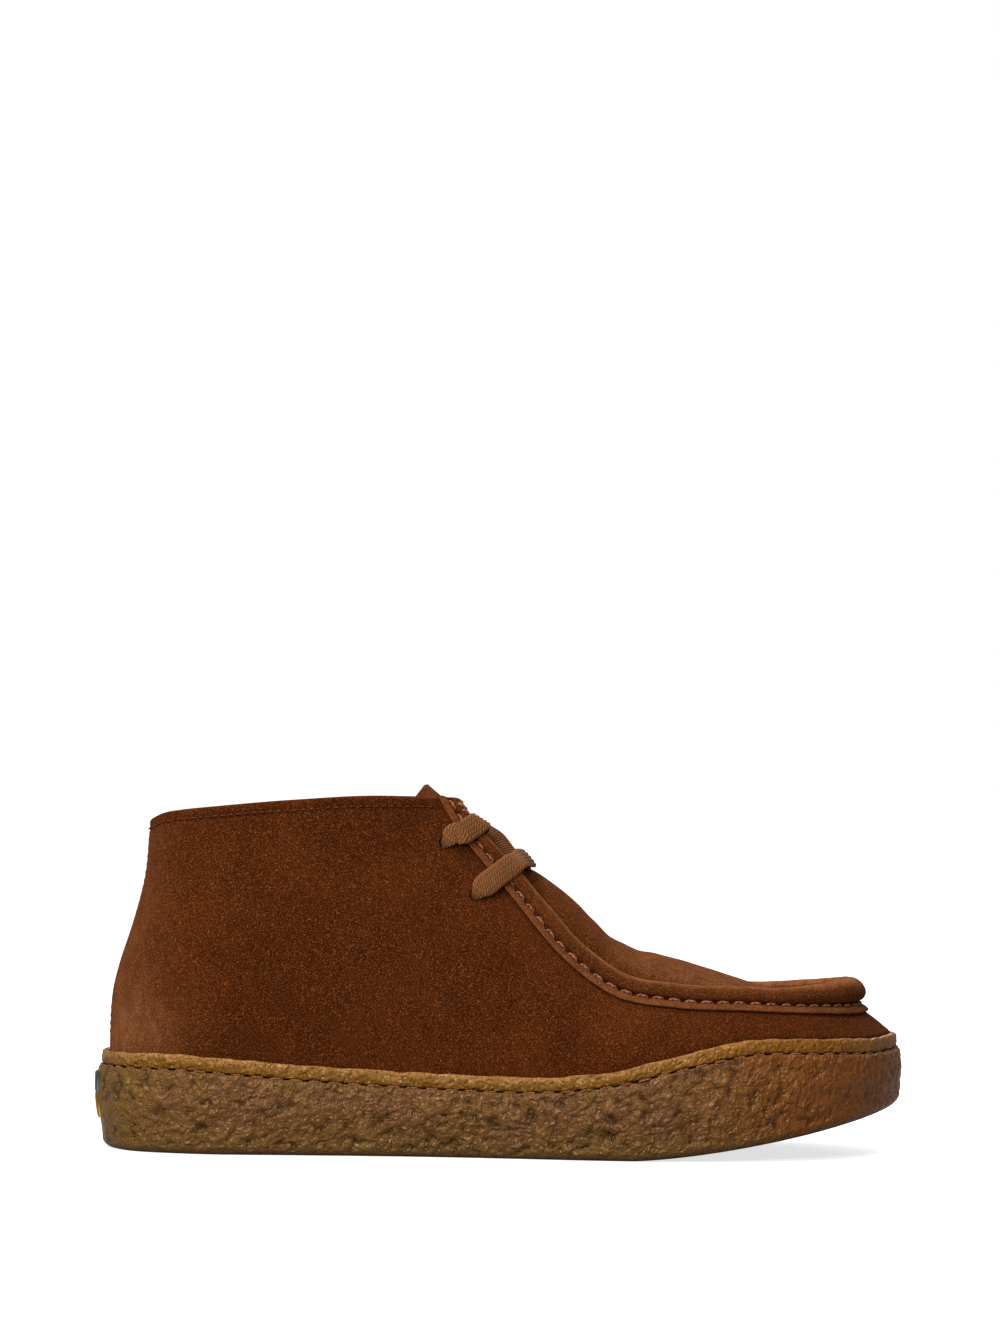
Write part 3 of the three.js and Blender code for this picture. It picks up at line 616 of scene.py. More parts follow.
def crepe_finish(name, props):
    """Crepe rubber: amber brown with mauve clouds, olive foot and heel, redder toe, and small hard glints; painted
    highlight on the lumps' crests, painted shade in the creases and on the ledge.
    """
    colour = tuple(props.crepe_colour)
    finish = Finish(name, Roughness=0.19)
    finish.shader.inputs["Specular IOR Level"].default_value = 0.4
    finish.shader.inputs["Specular Tint"].default_value = (*linear(255, 226, 178), 1.0)
    split = finish.put("ShaderNodeSeparateXYZ", {"Vector": finish.place})
    clouds = finish.noise(13 * MM, 3, 0.6)
    tint = finish.blend(finish.spot(clouds, 0.36, 0.66), colour, linear(116, 76, 46))
    toe = finish.spot(split.outputs["X"], 0.05, 0.13, 0.0, 0.85)
    tint = finish.blend(toe, tint, linear(136, 74, 24))
    heel = finish.spot(split.outputs["X"], -0.11, -0.147, 0.0, 0.7)
    tint = finish.blend(heel, tint, linear(124, 90, 34))
    foot = finish.spot(split.outputs["Z"], 0.014, 0.003, 0.0, 0.65)
    tint = finish.blend(foot, tint, linear(112, 80, 36))
    relief = finish.attribute("tone")
    grain = finish.noise(1.0 * MM, 3, 0.65, warp=0.6)
    # Painted highlight on the lumps' crests, painted shade in the creases, and deeper painted shade on the ledge and
    # the cup's wall, which carry tones below -1.1.
    tint = finish.blend(finish.spot(relief, 0.25, 0.8, 0.0, 0.45), tint, linear(158, 114, 68))
    tint = finish.blend(finish.spot(relief, 0.0, -0.7, 0.0, 0.7), tint, linear(54, 30, 12))
    tint = finish.blend(finish.spot(relief, -1.1, -1.25), tint, linear(46, 18, 8))
    normal = finish.bump(finish.noise(2.1 * MM, 1, 0.5, warp=0.9), 1.6 * MM, strength=1.0)
    normal = finish.bump(grain, 0.2 * MM, normal, 0.8)
    return finish.done(tint, normal)


def band_finish(name, props):
    """Amber rubber: paler and glossy along the top as a painted highlight, olive yellow below, a little uneven, with
    painted shade at its foot.
    """
    finish = Finish(name, Roughness=0.2)
    finish.shader.inputs["Specular IOR Level"].default_value = 0.4
    finish.shader.inputs["Specular Tint"].default_value = (*linear(255, 226, 178), 1.0)
    colour = tuple(props.band_colour)
    up = finish.attribute("tone")
    rough_edge = finish.sums(finish.noise(4 * MM, 3, 0.65), 0.5, "SUBTRACT")
    uneven = finish.sums(up, finish.sums(rough_edge, 2.0, "MULTIPLY"))
    # Paler towards the top with a ragged border: a painted highlight where the band's top faces the light.
    tint = finish.blend(finish.spot(uneven, 0.3, 0.85), colour, linear(176, 124, 68))
    split = finish.put("ShaderNodeSeparateXYZ", {"Vector": finish.place})
    toe = finish.spot(split.outputs["X"], 0.02, 0.13, 0.0, 0.8)
    tint = finish.blend(toe, tint, linear(160, 100, 26))
    patches = finish.spot(finish.noise(7 * MM, 3, 0.6), 0.4, 0.7, 0.0, 0.6)
    tint = finish.blend(patches, tint, linear(134, 90, 32))
    grain = finish.noise(1.3 * MM, 3, 0.6, warp=0.6)
    tint = finish.blend(finish.spot(grain, 0.5, 0.34, 0.0, 0.6), tint, linear(96, 60, 18))
    # Painted shade along the band's foot, in the corner over the ledge.
    tint = finish.blend(finish.spot(up, 0.12, -0.1), tint, linear(52, 22, 12))
    normal = finish.bump(finish.noise(2.6 * MM, 1, 0.5, warp=0.9), 1.6 * MM, strength=1.0)
    normal = finish.bump(grain, 0.2 * MM, normal, 0.8)
    return finish.done(tint, normal)


def leather_finish(name, colour):
    """Smooth lining leather: fine pores, faint creases and a dull polish, with painted shade where the tone is below 0.
    """
    finish = Finish(name, Roughness=0.62)
    finish.shader.inputs["Specular IOR Level"].default_value = 0.35
    pores = finish.put("ShaderNodeTexVoronoi", {"Vector": finish.spread(0.9 * MM), "Scale": 1.0})
    patches = finish.spot(finish.noise(20 * MM, 3, 0.5), 0.35, 0.7)
    tint = finish.blend(patches, shade(colour, 0.86), shade(colour, 1.1))
    tint = finish.blend(finish.spot(pores.outputs["Distance"], 0.3, 0.0, 0.0, 0.3), tint, shade(colour, 0.5))
    # Painted shade where the tone is below 0, as in the footbed's groove.
    tint = finish.blend(finish.spot(finish.attribute("tone"), 0.0, -1.0, 0.0, 0.8), tint, shade(colour, 0.3))
    normal = finish.bump(finish.noise(5 * MM, 3, 0.6), 0.3 * MM, strength=0.4)
    normal = finish.bump(pores.outputs["Distance"], 0.08 * MM, normal, 0.5)
    return finish.done(tint, normal)


def thread_finish(name, light, dark, turns):
    """Twisted thread: a lighter and a darker tone that wind round it, painted glints on the strands and painted shade
    between them, read from the thread's own UV map.
    """
    finish = Finish(name, Roughness=0.75)
    finish.shader.inputs["Specular IOR Level"].default_value = 0.1
    run = finish.nodes.new("ShaderNodeUVMap")
    run.uv_map = "run"
    split = finish.put("ShaderNodeSeparateXYZ", {"Vector": run.outputs["UV"]})
    turn = finish.sums(finish.sums(split.outputs["X"], turns, "MULTIPLY"), split.outputs["Y"], "ADD")
    wave = finish.sums(finish.sums(turn, 2 * math.pi, "MULTIPLY"), 0.0, "SINE")
    strand = finish.spot(wave, -0.7, 0.7)
    # Lighter stripes as painted glints along the twist, darker stripes as painted shade between the strands.
    tint = finish.blend(strand, dark, light)
    tint = finish.blend(finish.spot(finish.noise(2.2 * MM, 2, 0.6), 0.4, 0.7, 0.0, 0.5), tint, shade(light, 1.25))
    return finish.done(tint, finish.bump(wave, 0.12 * MM, strength=0.8))


def lace_finish(name, props):
    """Woven cotton lace: fine ribs of yarn along it with a small weave across them, and painted shade between the ribs.
    """
    colour = tuple(props.colour)
    finish = Finish(name, Roughness=0.88, Sheen_Weight=0.25, Sheen_Roughness=0.5)
    finish.shader.inputs["Sheen Tint"].default_value = (*linear(200, 150, 105), 1.0)
    finish.shader.inputs["Specular IOR Level"].default_value = 0.2
    run = finish.nodes.new("ShaderNodeUVMap")
    run.uv_map = "run"
    split = finish.put("ShaderNodeSeparateXYZ", {"Vector": run.outputs["UV"]})
    across = finish.sums(split.outputs["Y"], 2 * math.pi * props.ribs, "MULTIPLY")
    slanted = finish.sums(finish.sums(split.outputs["X"], 2 * math.pi / (1.1 * MM), "MULTIPLY"), across, "ADD")
    weave = finish.sums(finish.sums(slanted, 0.0, "SINE"), finish.sums(across, 0.0, "COSINE"), "ADD")
    weave = finish.sums(weave, 0.6, "MULTIPLY")
    fuzz = finish.noise(0.5 * MM, 3, 0.75)
    tint = finish.blend(finish.spot(weave, -0.9, 0.7), shade(colour, 0.4), shade(colour, 1.15))
    # Painted shade in the valleys between the ribs, from the tone.
    tint = finish.blend(finish.spot(finish.attribute("tone"), 0.0, -0.75, 0.0, 0.8), tint, shade(colour, 0.3))
    tint = finish.blend(finish.spot(fuzz, 0.52, 0.74, 0.0, 0.5), tint, shade(colour, 1.7))
    normal = finish.bump(weave, 0.32 * MM, strength=1.0)
    normal = finish.bump(fuzz, 0.15 * MM, normal, 0.6)
    return finish.done(tint, normal)


def plain_finish(name, colour, roughness):
    """Moulded rubber or floor paint: one colour with a faint grain."""
    finish = Finish(name, Roughness=roughness)
    grain = finish.noise(1.2 * MM, 3, 0.6)
    tint = finish.blend(finish.spot(grain, 0.3, 0.7), shade(colour, 0.9), shade(colour, 1.08))
    return finish.done(tint, finish.bump(grain, 0.1 * MM, strength=0.4))


# Sole


def crepe_relief(points, place, side):
    """Lumps and creases of the crepe, from -1 to 1, and how deep they are at each point.

    Domes round scattered spots in two sizes, which meet in creases, and soft noise. A slower noise
    pushes them about. They are small round the heel, and towards the toe they grow shallow.
    """
    pushed = points + np.stack([cloud(points, 3.6 * MM, 31 + k) for k in range(3)], axis=-1) * 1.7 * MM
    coarse = 1 - 1.3 * lumps(pushed, 3.3 * MM, 5)[0] ** 2
    fine = 1 - 1.3 * lumps(pushed, 1.8 * MM, 11)[0] ** 2
    relief = 0.95 * coarse + 0.45 * fine + 0.45 * cloud(points, 5 * MM, 3) - 0.8
    x = along("x", place)
    toe = ease(x, 0.27 * SOLE_LENGTH, 0.46 * SOLE_LENGTH)
    heel = ease(x, -0.36 * SOLE_LENGTH, -0.48 * SOLE_LENGTH)
    calm = mix(1.0, 0.5, toe) * mix(1.0, 0.8, heel) * mix(0.35, 1.0, ease(side, 0.02, 0.16))
    calm = calm * ease(np.minimum(place, ROW_COUNT - place), 0.34, 0.5)
    return np.clip(relief, -1, 1), calm


def make_sole(props):
    """Cup sole: for each place round the outline, a profile from the underside up the side to the cup.

    The profile is a quarter ellipse at the foot, a side that swells out to three quarters of its
    height, a rounded shoulder, the ledge, and the cup's wall. The crepe relief moves the side out along
    the outline's normal. The underside is closed across, with wavy bars cut into it.
    """
    count = 1150
    place = ring_places(count)[:, None]
    swell = swell_at(place)
    ledge = ledge_at(place)
    foot_turn = np.linspace(0, np.pi / 2, 9)[None]
    foot_rise = 0.8 * EDGE_ROUND
    foot_inset = swell + EDGE_ROUND * (1 - np.sin(foot_turn))
    foot_lift = foot_rise * (1 - np.cos(foot_turn))
    side = np.linspace(0, 1, 42)[None, 1:]
    drawn_in = 0.4 * MM
    side_inset = swell * (1 - ease(side, 0, 0.7)) + drawn_in * ease(side, 0.6, 1)
    top_turn = np.linspace(0, np.pi / 2, 10)[None, 1:]
    inset = np.concatenate(
        [
            foot_inset,
            side_inset,
            drawn_in + SIDE_TOP_INSET * (1 - np.cos(top_turn)) + 0 * place,
            mix(drawn_in + SIDE_TOP_INSET, CUP_INSET, np.array([[0.3, 1.0]])) + 0 * place,
            np.full((count, 1), CUP_INSET),
        ],
        axis=1,
    )
    x = outline_at(place, inset)[0]
    base = underside(x)
    side_top = ledge - SIDE_TOP_ROUND
    foot_count = foot_turn.shape[1]
    side_count = side.shape[1]
    ends = foot_count + side_count
    shoulder = ends + top_turn.shape[1]
    z = np.empty_like(inset)
    z[:, :foot_count] = base[:, :foot_count] + foot_lift
    start = base[:, foot_count:ends] + foot_rise
    z[:, foot_count:ends] = mix(start, side_top, side)
    z[:, ends:shoulder] = side_top + SIDE_TOP_ROUND * np.sin(top_turn)
    z[:, shoulder:-1] = ledge
    z[:, -1:] = cup_floor(x[:, -1:])
    y = outline_at(place, inset)[1]
    points = np.stack([x, y, z], axis=-1)
    share = np.clip((z - base) / (ledge - base), 0, 1)
    relief, calm = crepe_relief(points, place, share)
    fade = np.zeros(inset.shape[1])
    fade[1:shoulder] = np.minimum(1, np.minimum(np.arange(1, shoulder), np.arange(shoulder - 1, 0, -1)) / 3)
    depth = props.crepe_depth * calm * fade
    inset = inset - relief * depth
    x, y = outline_at(place, inset)
    points = np.stack([x, y, z], axis=-1)
    tone = relief * calm * fade
    # The ledge and the cup's wall get a tone of -1.3, which the finish darkens as painted shade.
    tone[:, shoulder - 1 :] = -1.3
    rows, columns = inset.shape
    points = points.reshape(-1, 3)
    faces = quads(rows, columns, closed_u=True)
    bottom = np.arange(rows) * columns
    (near, far, across), cells, fans = cap_across(bottom, len(points), 40)
    under = mix(points[near], points[far], across[:, None])
    under[:, 2] = underside(under[:, 0]) + tread_depth(under, points[near], points[far])
    top = bottom + columns - 1
    (near, far, across), top_cells, top_fans = cap_across(top, len(points) + len(under), 4)
    over = mix(points[near], points[far], across[:, None])
    over[:, 2] = cup_floor(over[:, 0])
    # The underside's tone leaves it plain; the cup's floor gets -1.0, darkened as painted shade.
    tone = np.concatenate([tone.ravel(), np.full(len(under), 0.1), np.full(len(over), -1.0)])
    points = np.concatenate([points, under, over])
    groups = [faces, cells[:, ::-1], fans[:, ::-1], top_cells, top_fans]
    finish = crepe_finish("crepe rubber", props)
    return make_piece("crepe_sole", points, groups, [finish], ["outsole"], tone=tone)


def tread_depth(points, near, far):
    """Depth of the wavy bars in the underside: a rounded trough every few millimetres along the sole.

    They fade out towards the edge and under the waist.
    """
    pitch = 7.5 * MM
    wave = 2.2 * MM * np.sin(points[:, 1] * 2 * np.pi / (26 * MM))
    turn = (points[:, 0] + wave) / pitch
    trough = ease(np.cos(turn * 2 * np.pi), 0.35, 0.85)
    edge = np.minimum(np.linalg.norm(points - near, axis=1), np.linalg.norm(points - far, axis=1))
    waist = 1 - ease(np.abs(points[:, 0] + 0.08 * SOLE_LENGTH), 0.03 * SOLE_LENGTH, 0.05 * SOLE_LENGTH)
    crinkle = 0.12 * MM * (1 + cloud(points, 2.2 * MM, 23)) * ease(edge, 0, 3 * MM)
    return 1.3 * MM * trough * ease(edge, 5 * MM, 8 * MM) * (1 - waist) + crinkle


def make_band(props):
    """Band of amber rubber: a ring whose section is a rounded strip, a little uneven along the top."""
    count = 1100
    place = ring_places(count)[:, None]
    foot = ledge_at(place) + CLEARANCE
    rim = along("rim", place)
    turn = np.linspace(0, 2 * np.pi, 40, endpoint=False)[None]
    across = np.sign(np.cos(turn)) * np.abs(np.cos(turn)) ** 0.7
    upward = np.sign(np.sin(turn)) * np.abs(np.sin(turn)) ** 0.6
    middle = (LEDGE_WIDTH + CUP_INSET) / 2
    half = (CUP_INSET - LEDGE_WIDTH) / 2
    inset = middle - half * across + 0 * place
    z = mix(foot, rim, (upward + 1) / 2)
    x, y = outline_at(place, inset)
    points = np.stack([x, y, z], axis=-1)
    nearest, second = lumps(points, 2.4 * MM, 41)
    rough = ease(second - nearest, 0, 0.5) - 0.5 + 0.5 * cloud(points, 3.5 * MM, 43)
    outer = ease(across, 0.0, 0.8)
    inset = inset - rough * 0.4 * MM * outer
    wobble = 0.4 * MM * cloud(points * (1, 1, 0), 4.5 * MM, 47) * ease(upward, 0, 1)
    x, y = outline_at(place, inset)
    points = np.stack([x, y, z + wobble], axis=-1)
    # The tone is the share up the section, for the painted highlight on top and the painted shade at the foot.
    tone = (upward + 1) / 2 + 0 * place
    faces = quads(count, 40, closed_u=True, closed_v=True)
    finish = band_finish("amber rubber", props)
    return make_piece(
        "amber_band", points.reshape(-1, 3), [faces], [finish], ["sole_band"], tone=tone
    )


def make_footbed():
    """Leather footbed: the cup's floor raised by its thickness, dished at the heel, with a round edge."""
    count = 480
    inset = UPPER_INSET + UPPER_WALL + CLEARANCE
    place = ring_places(count)[:, None]
    turn = np.linspace(0, np.pi / 2, 6)[None]
    edge = 1.6 * MM
    insets = np.concatenate([[[inset]], inset + edge * (1 - np.cos(turn))], axis=1) + 0 * place
    x, y = outline_at(place, insets)
    low = cup_floor(x) + CLEARANCE
    high = low + FOOTBED_THICKNESS - edge
    z = np.concatenate([low[:, :1], high[:, 1:] + edge * np.sin(turn)], axis=1)
    points = np.stack([x, y, z], axis=-1)
    rows, columns = insets.shape
    points = points.reshape(-1, 3)
    bottom = np.arange(rows) * columns
    (near, far, across), cells, fans = cap_across(bottom, len(points), 4)
    under = mix(points[near], points[far], across[:, None])
    under[:, 2] = cup_floor(under[:, 0]) + CLEARANCE
    top = bottom + columns - 1
    (near, far, across), top_cells, top_fans = cap_across(top, len(points) + len(under), 40)
    over = mix(points[near], points[far], across[:, None])
    rim = np.minimum(np.linalg.norm(over - points[near], axis=1), np.linalg.norm(over - points[far], axis=1))
    dish = 1.2 * MM * ease(rim, 2 * MM, 24 * MM)
    groove = 0.5 * MM * np.exp(-(((rim - 5 * MM) / (0.9 * MM)) ** 2))
    over[:, 2] = cup_floor(over[:, 0]) + CLEARANCE + FOOTBED_THICKNESS - dish - groove
    tone = np.zeros(len(points) + len(under))
    # Painted shade in the groove round the footbed's edge.
    tone = np.concatenate([tone, -1.2 * groove / (0.5 * MM)])
    points = np.concatenate([points, under, over])
    groups = [quads(rows, columns, closed_u=True), cells[:, ::-1], fans[:, ::-1], top_cells, top_fans]
    finish = leather_finish("footbed leather", linear(176, 138, 95))
    return make_piece("footbed", points, groups, [finish], ["insole"], tone=tone)


# Upper

# Soft folds of the wall: start x and z, end x and z, half width and depth in
# millimetres, and the side: -1 outer, 1 inner, 0 both. A trough is negative.
WALL_FOLDS = (
    (-92, 126, -66, 78, 9, -1.0, 0),
    (-66, 128, -40, 92, 8, 0.6, 0),
    (-34, 112, -14, 78, 7, -0.7, 0),
    (-10, 74, 18, 48, 8, 0.5, 0),
    (40, 66, 28, 44, 7, -0.8, 0),
    (66, 57, 58, 40, 6, -0.6, -1),
    (70, 56, 60, 40, 6, -0.7, 1),
    (-118, 96, -96, 50, 8, -0.6, 0),
    (-135, 70, -108, 48, 7, 0.5, 0),
    (96, 52, 112, 44, 6, -0.4, 0),
)


def wall_folds(points):
    """Sum of soft troughs and ridges: each a bell across its line that fades out past its ends."""
    x, y, z = points[..., 0], points[..., 1], points[..., 2]
    total = np.zeros(x.shape)
    for x0, z0, x1, z1, width, depth, side in WALL_FOLDS:
        start = np.array((x0, z0)) * MM
        line = np.array((x1, z1)) * MM - start
        length = np.hypot(*line)
        line = line / length
        run = (x - start[0]) * line[0] + (z - start[1]) * line[1]
        off = (x - start[0]) * line[1] - (z - start[1]) * line[0]
        past = np.maximum(0, np.maximum(-run, run - length))
        bell = np.exp(-((off / (width * MM)) ** 2) - (past / (12 * MM)) ** 2)
        there = 1.0 if side == 0 else ease(side * y, 0, 10 * MM)
        total += depth * MM * bell * there
    return total


def make_upper(props):
    """Wall of the upper: a closed sheet, out over the top edge and down inside, with its eyelets cut.

    Round the boot and up the wall the points crowd at the eyelets. Cells whose middle lies in an
    eyelet are left out of both faces, the points round them are drawn to the circle, and the two
    faces are joined there.
    """
    rows_at = sorted(row % ROW_COUNT for row, _ in EYELET_SPOTS)
    places = crowded(0, ROW_COUNT, 601, rows_at, 0.22, 3.0)[:-1][:, None]
    heights = crowded(0, 1, 58, [EYELETS[0][1], EYELETS[1][1], 1.0], 0.055, 1.6)[None]
    count = heights.shape[1]
    outer = wall_point(places, heights)
    out = wall_frame(places, heights)[2]
    down = (1 - heights) * wall_rise(places)
    collar = 1 - ease(np.abs(((places + TOE) % ROW_COUNT) - TOE), CORNER - 0.1, CORNER + 0.1)
    hem = np.exp(-(((down - props.collar_hem) / (0.9 * MM)) ** 2)) * collar
    fold = wall_folds(outer) * ease(down, 1 * MM, 12 * MM) * ease(outer[..., 2] - along("rim", places), 0, 9 * MM)
    slack = 0.22 * MM * cloud(outer, 16 * MM, 61) + 0.07 * MM * cloud(outer, 5 * MM, 62)
    back = np.exp(-((outer[..., 1] / (1.1 * MM)) ** 2)) * (outer[..., 0] < 0)
    move = fold + slack * ease(down, 0, 10 * MM) - 0.35 * MM * hem - 0.5 * MM * back
    inner = outer - out * UPPER_WALL
    outer = outer + out * move[..., None]
    turn = np.linspace(0, np.pi, 9)[1:-1][None]
    top_mid = (outer[:, -1:] + inner[:, -1:]) / 2
    top_half = (outer[:, -1:] - inner[:, -1:]) / 2
    up = wall_frame(places, 1.0)[0]
    arc = top_mid + top_half * np.cos(turn)[..., None] + up * (0.9 * MM * np.sin(turn))[..., None]
    arc = arc - up * (0.7 * MM)
    outer = outer.copy()
    inner = inner.copy()
    outer[:, -1:] -= up * (0.7 * MM)
    inner[:, -1:] -= up * (0.7 * MM)
    foot_x, foot_y = outline_at(places, UPPER_INSET)
    foot_out = np.stack([foot_x, foot_y, cup_floor(foot_x) + CLEARANCE], axis=-1)
    foot_x, foot_y = outline_at(places, UPPER_INSET + UPPER_WALL)
    foot_in = np.stack([foot_x, foot_y, cup_floor(foot_x) + CLEARANCE], axis=-1)
    removed = np.zeros((len(places), count - 1), bool)
    cell = (outer + np.roll(outer, -1, axis=0)) / 2
    cell = (cell[:, :-1] + cell[:, 1:]) / 2
    for row, height in EYELET_SPOTS:
        centre = wall_point(row, height)
        hole = np.linalg.norm(cell - centre, axis=-1) < EYELET_RADIUS
        removed |= hole
        touched = np.zeros((len(places), count), bool)
        for du in (0, 1):
            for dv in (0, 1):
                touched[:, dv : dv + count - 1] |= np.roll(hole, du, axis=0)
        kept = ~hole
        rim = np.zeros_like(touched)
        for du in (0, 1):
            for dv in (0, 1):
                rim[:, dv : dv + count - 1] |= np.roll(kept, du, axis=0)
        rim &= touched
        for face, middle in ((outer, centre), (inner, beside_wall(row, height, -UPPER_WALL))):
            arm = face[rim] - middle
            size = np.linalg.norm(arm, axis=-1, keepdims=True)
            face[rim] = middle + arm * (EYELET_RADIUS / size)
    points = np.concatenate([foot_out, outer, arc, inner[:, ::-1], foot_in], axis=1)
    rows, columns = points.shape[:2]
    grid = quads(rows, columns, closed_u=True, closed_v=True).reshape(rows, columns, 4)
    keep = np.ones((rows, columns), bool)
    keep[:, 1:count] &= ~removed
    last = columns - 2
    keep[:, last - count + 1 : last] &= ~removed[:, ::-1]
    number = np.arange(rows * columns).reshape(rows, columns)
    on_outer = number[:, 1 : count + 1]
    on_inner = number[:, last - count + 1 : last + 1][:, ::-1]
    rims = eyelet_rims(removed, on_outer, on_inner)
    lining = np.zeros((rows, columns), int)
    lining[:, count + turn.shape[1] :] = 1
    face_finish = [lining[keep], np.zeros(len(rims), int)]
    tone = np.zeros((rows, columns))
    edge = collar * ease(down, props.collar_hem, 0.4 * props.collar_hem)
    # Painted shade in the hem's groove and in the back seam's groove, and a little darker from the hem up to the
    # collar's edge.
    tone[:, 1 : count + 1] = -0.55 * hem - 0.12 * edge - 0.8 * back
    # Painted sheen round the heel, with a lighter patch of nap low on the quarter.
    tone[:, 1 : count + 1] += heel_sheen_and_patch(outer)
    # Painted shade on the vamp's side, which tilts up into the top light.
    tone[:, 1 : count + 1] -= 0.22 * ease(outer[..., 0], 0.12 * SOLE_LENGTH, 0.22 * SOLE_LENGTH)
    tone[:, count + 1 : count + 1 + turn.shape[1]] = -0.1 * collar
    suede = suede_finish("brown suede", tuple(props.suede_colour), 0.2)
    lining_leather = leather_finish("lining leather", tuple(props.lining_colour))
    return make_piece(
        "suede_wall",
        points.reshape(-1, 3),
        [grid[keep], rims],
        [suede, lining_leather],
        ["upper"],
        tone=tone,
        face_finish=face_finish,
    )


def heel_sheen_and_patch(points):
    """Painted sheen round the heel, and a lighter patch of nap low on the quarter, as a tone from 0 up."""
    x, z = points[..., 0], points[..., 2]
    heel = ease(x, -0.36 * SOLE_LENGTH, -0.47 * SOLE_LENGTH)
    low = np.exp(-(((x + 0.43 * SOLE_LENGTH) / (24 * MM)) ** 2) - ((z - 44 * MM) / (13 * MM)) ** 2)
    return 0.36 * heel + 0.32 * low


def eyelet_rims(removed, on_outer, on_inner):
    """Faces that join the outer face to the inner one round each eyelet, one for each side of a kept cell
    that borders on a removed one."""
    kept = ~removed
    number_next = np.roll(on_outer, -1, axis=0)
    inner_next = np.roll(on_inner, -1, axis=0)
    below = np.zeros_like(removed)
    below[:, 1:] = removed[:, :-1]
    above = np.zeros_like(removed)
    above[:, :-1] = removed[:, 1:]
    right = np.roll(removed, -1, axis=0)
    left = np.roll(removed, 1, axis=0)
    sides = (
        (below, on_outer[:, :-1], number_next[:, :-1], on_inner[:, :-1], inner_next[:, :-1]),
        (right, number_next[:, :-1], number_next[:, 1:], inner_next[:, :-1], inner_next[:, 1:]),
        (above, number_next[:, 1:], on_outer[:, 1:], inner_next[:, 1:], on_inner[:, 1:]),
        (left, on_outer[:, 1:], on_outer[:, :-1], on_inner[:, 1:], on_inner[:, :-1]),
    )
    faces = []
    for beside, a, b, inner_a, inner_b in sides:
        here = kept & beside
        faces.append(np.stack([b[here], a[here], inner_a[here], inner_b[here]], axis=-1))
    return np.concatenate(faces)


# Apron and tongue


def tuck_at(place):
    """How far the apron's edge runs on under the wall: wide at the collar, narrow round the vamp."""
    rows_from_corner = np.abs(np.minimum(place, ROW_COUNT - place) - CORNER)
    return mix(TONGUE_TUCK, SEAM_TUCK, ease(rows_from_corner, 0, 4))


def apron_lines(place, across):
    """Cross lines of the apron's outer face: straight from edge to edge, lifted to the crown.

    across runs from -1 to 2; below 0 and above 1 it is the part tucked under the wall.
    """
    depth = -(UPPER_WALL + 1.5 * CLEARANCE)
    opposite = ROW_COUNT - place
    near = beside_wall(place, 1.0 + 0 * place, depth)
    far = beside_wall(opposite, 1.0 + 0 * place, depth)
    inside = np.clip(across, 0, 1)
    line = mix(near, far, inside[..., None])
    lift = crown_height(line[..., 0]) - line[..., 2]
    line[..., 2] += lift * (1 - np.abs(2 * inside - 1) ** 2.1)
    for side, share in ((place, np.clip(-across, 0, 1)), (opposite, np.clip(across - 1, 0, 1))):
        height = 1 - share * tuck_at(side) / wall_rise(side)
        under = beside_wall(side, height, depth)
        line = np.where((share > 0)[..., None], under, line)
    return line


# Directions in which the tongue's end runs on past the collar, on its middle line and at its edges
RISE_AT_CROWN = np.array((-0.74, 0, 0.67))
RISE_AT_EDGE = np.array((-1.25, 0, 0))

# Creases across the instep: x on the middle line and depth in millimetres, and slant
APRON_CREASES = (
    (34, 0.25, -0.6),
    (43, -0.2, 0.4),
    (52, 0.15, -0.6),
    (68, -0.1, 0.25),
)


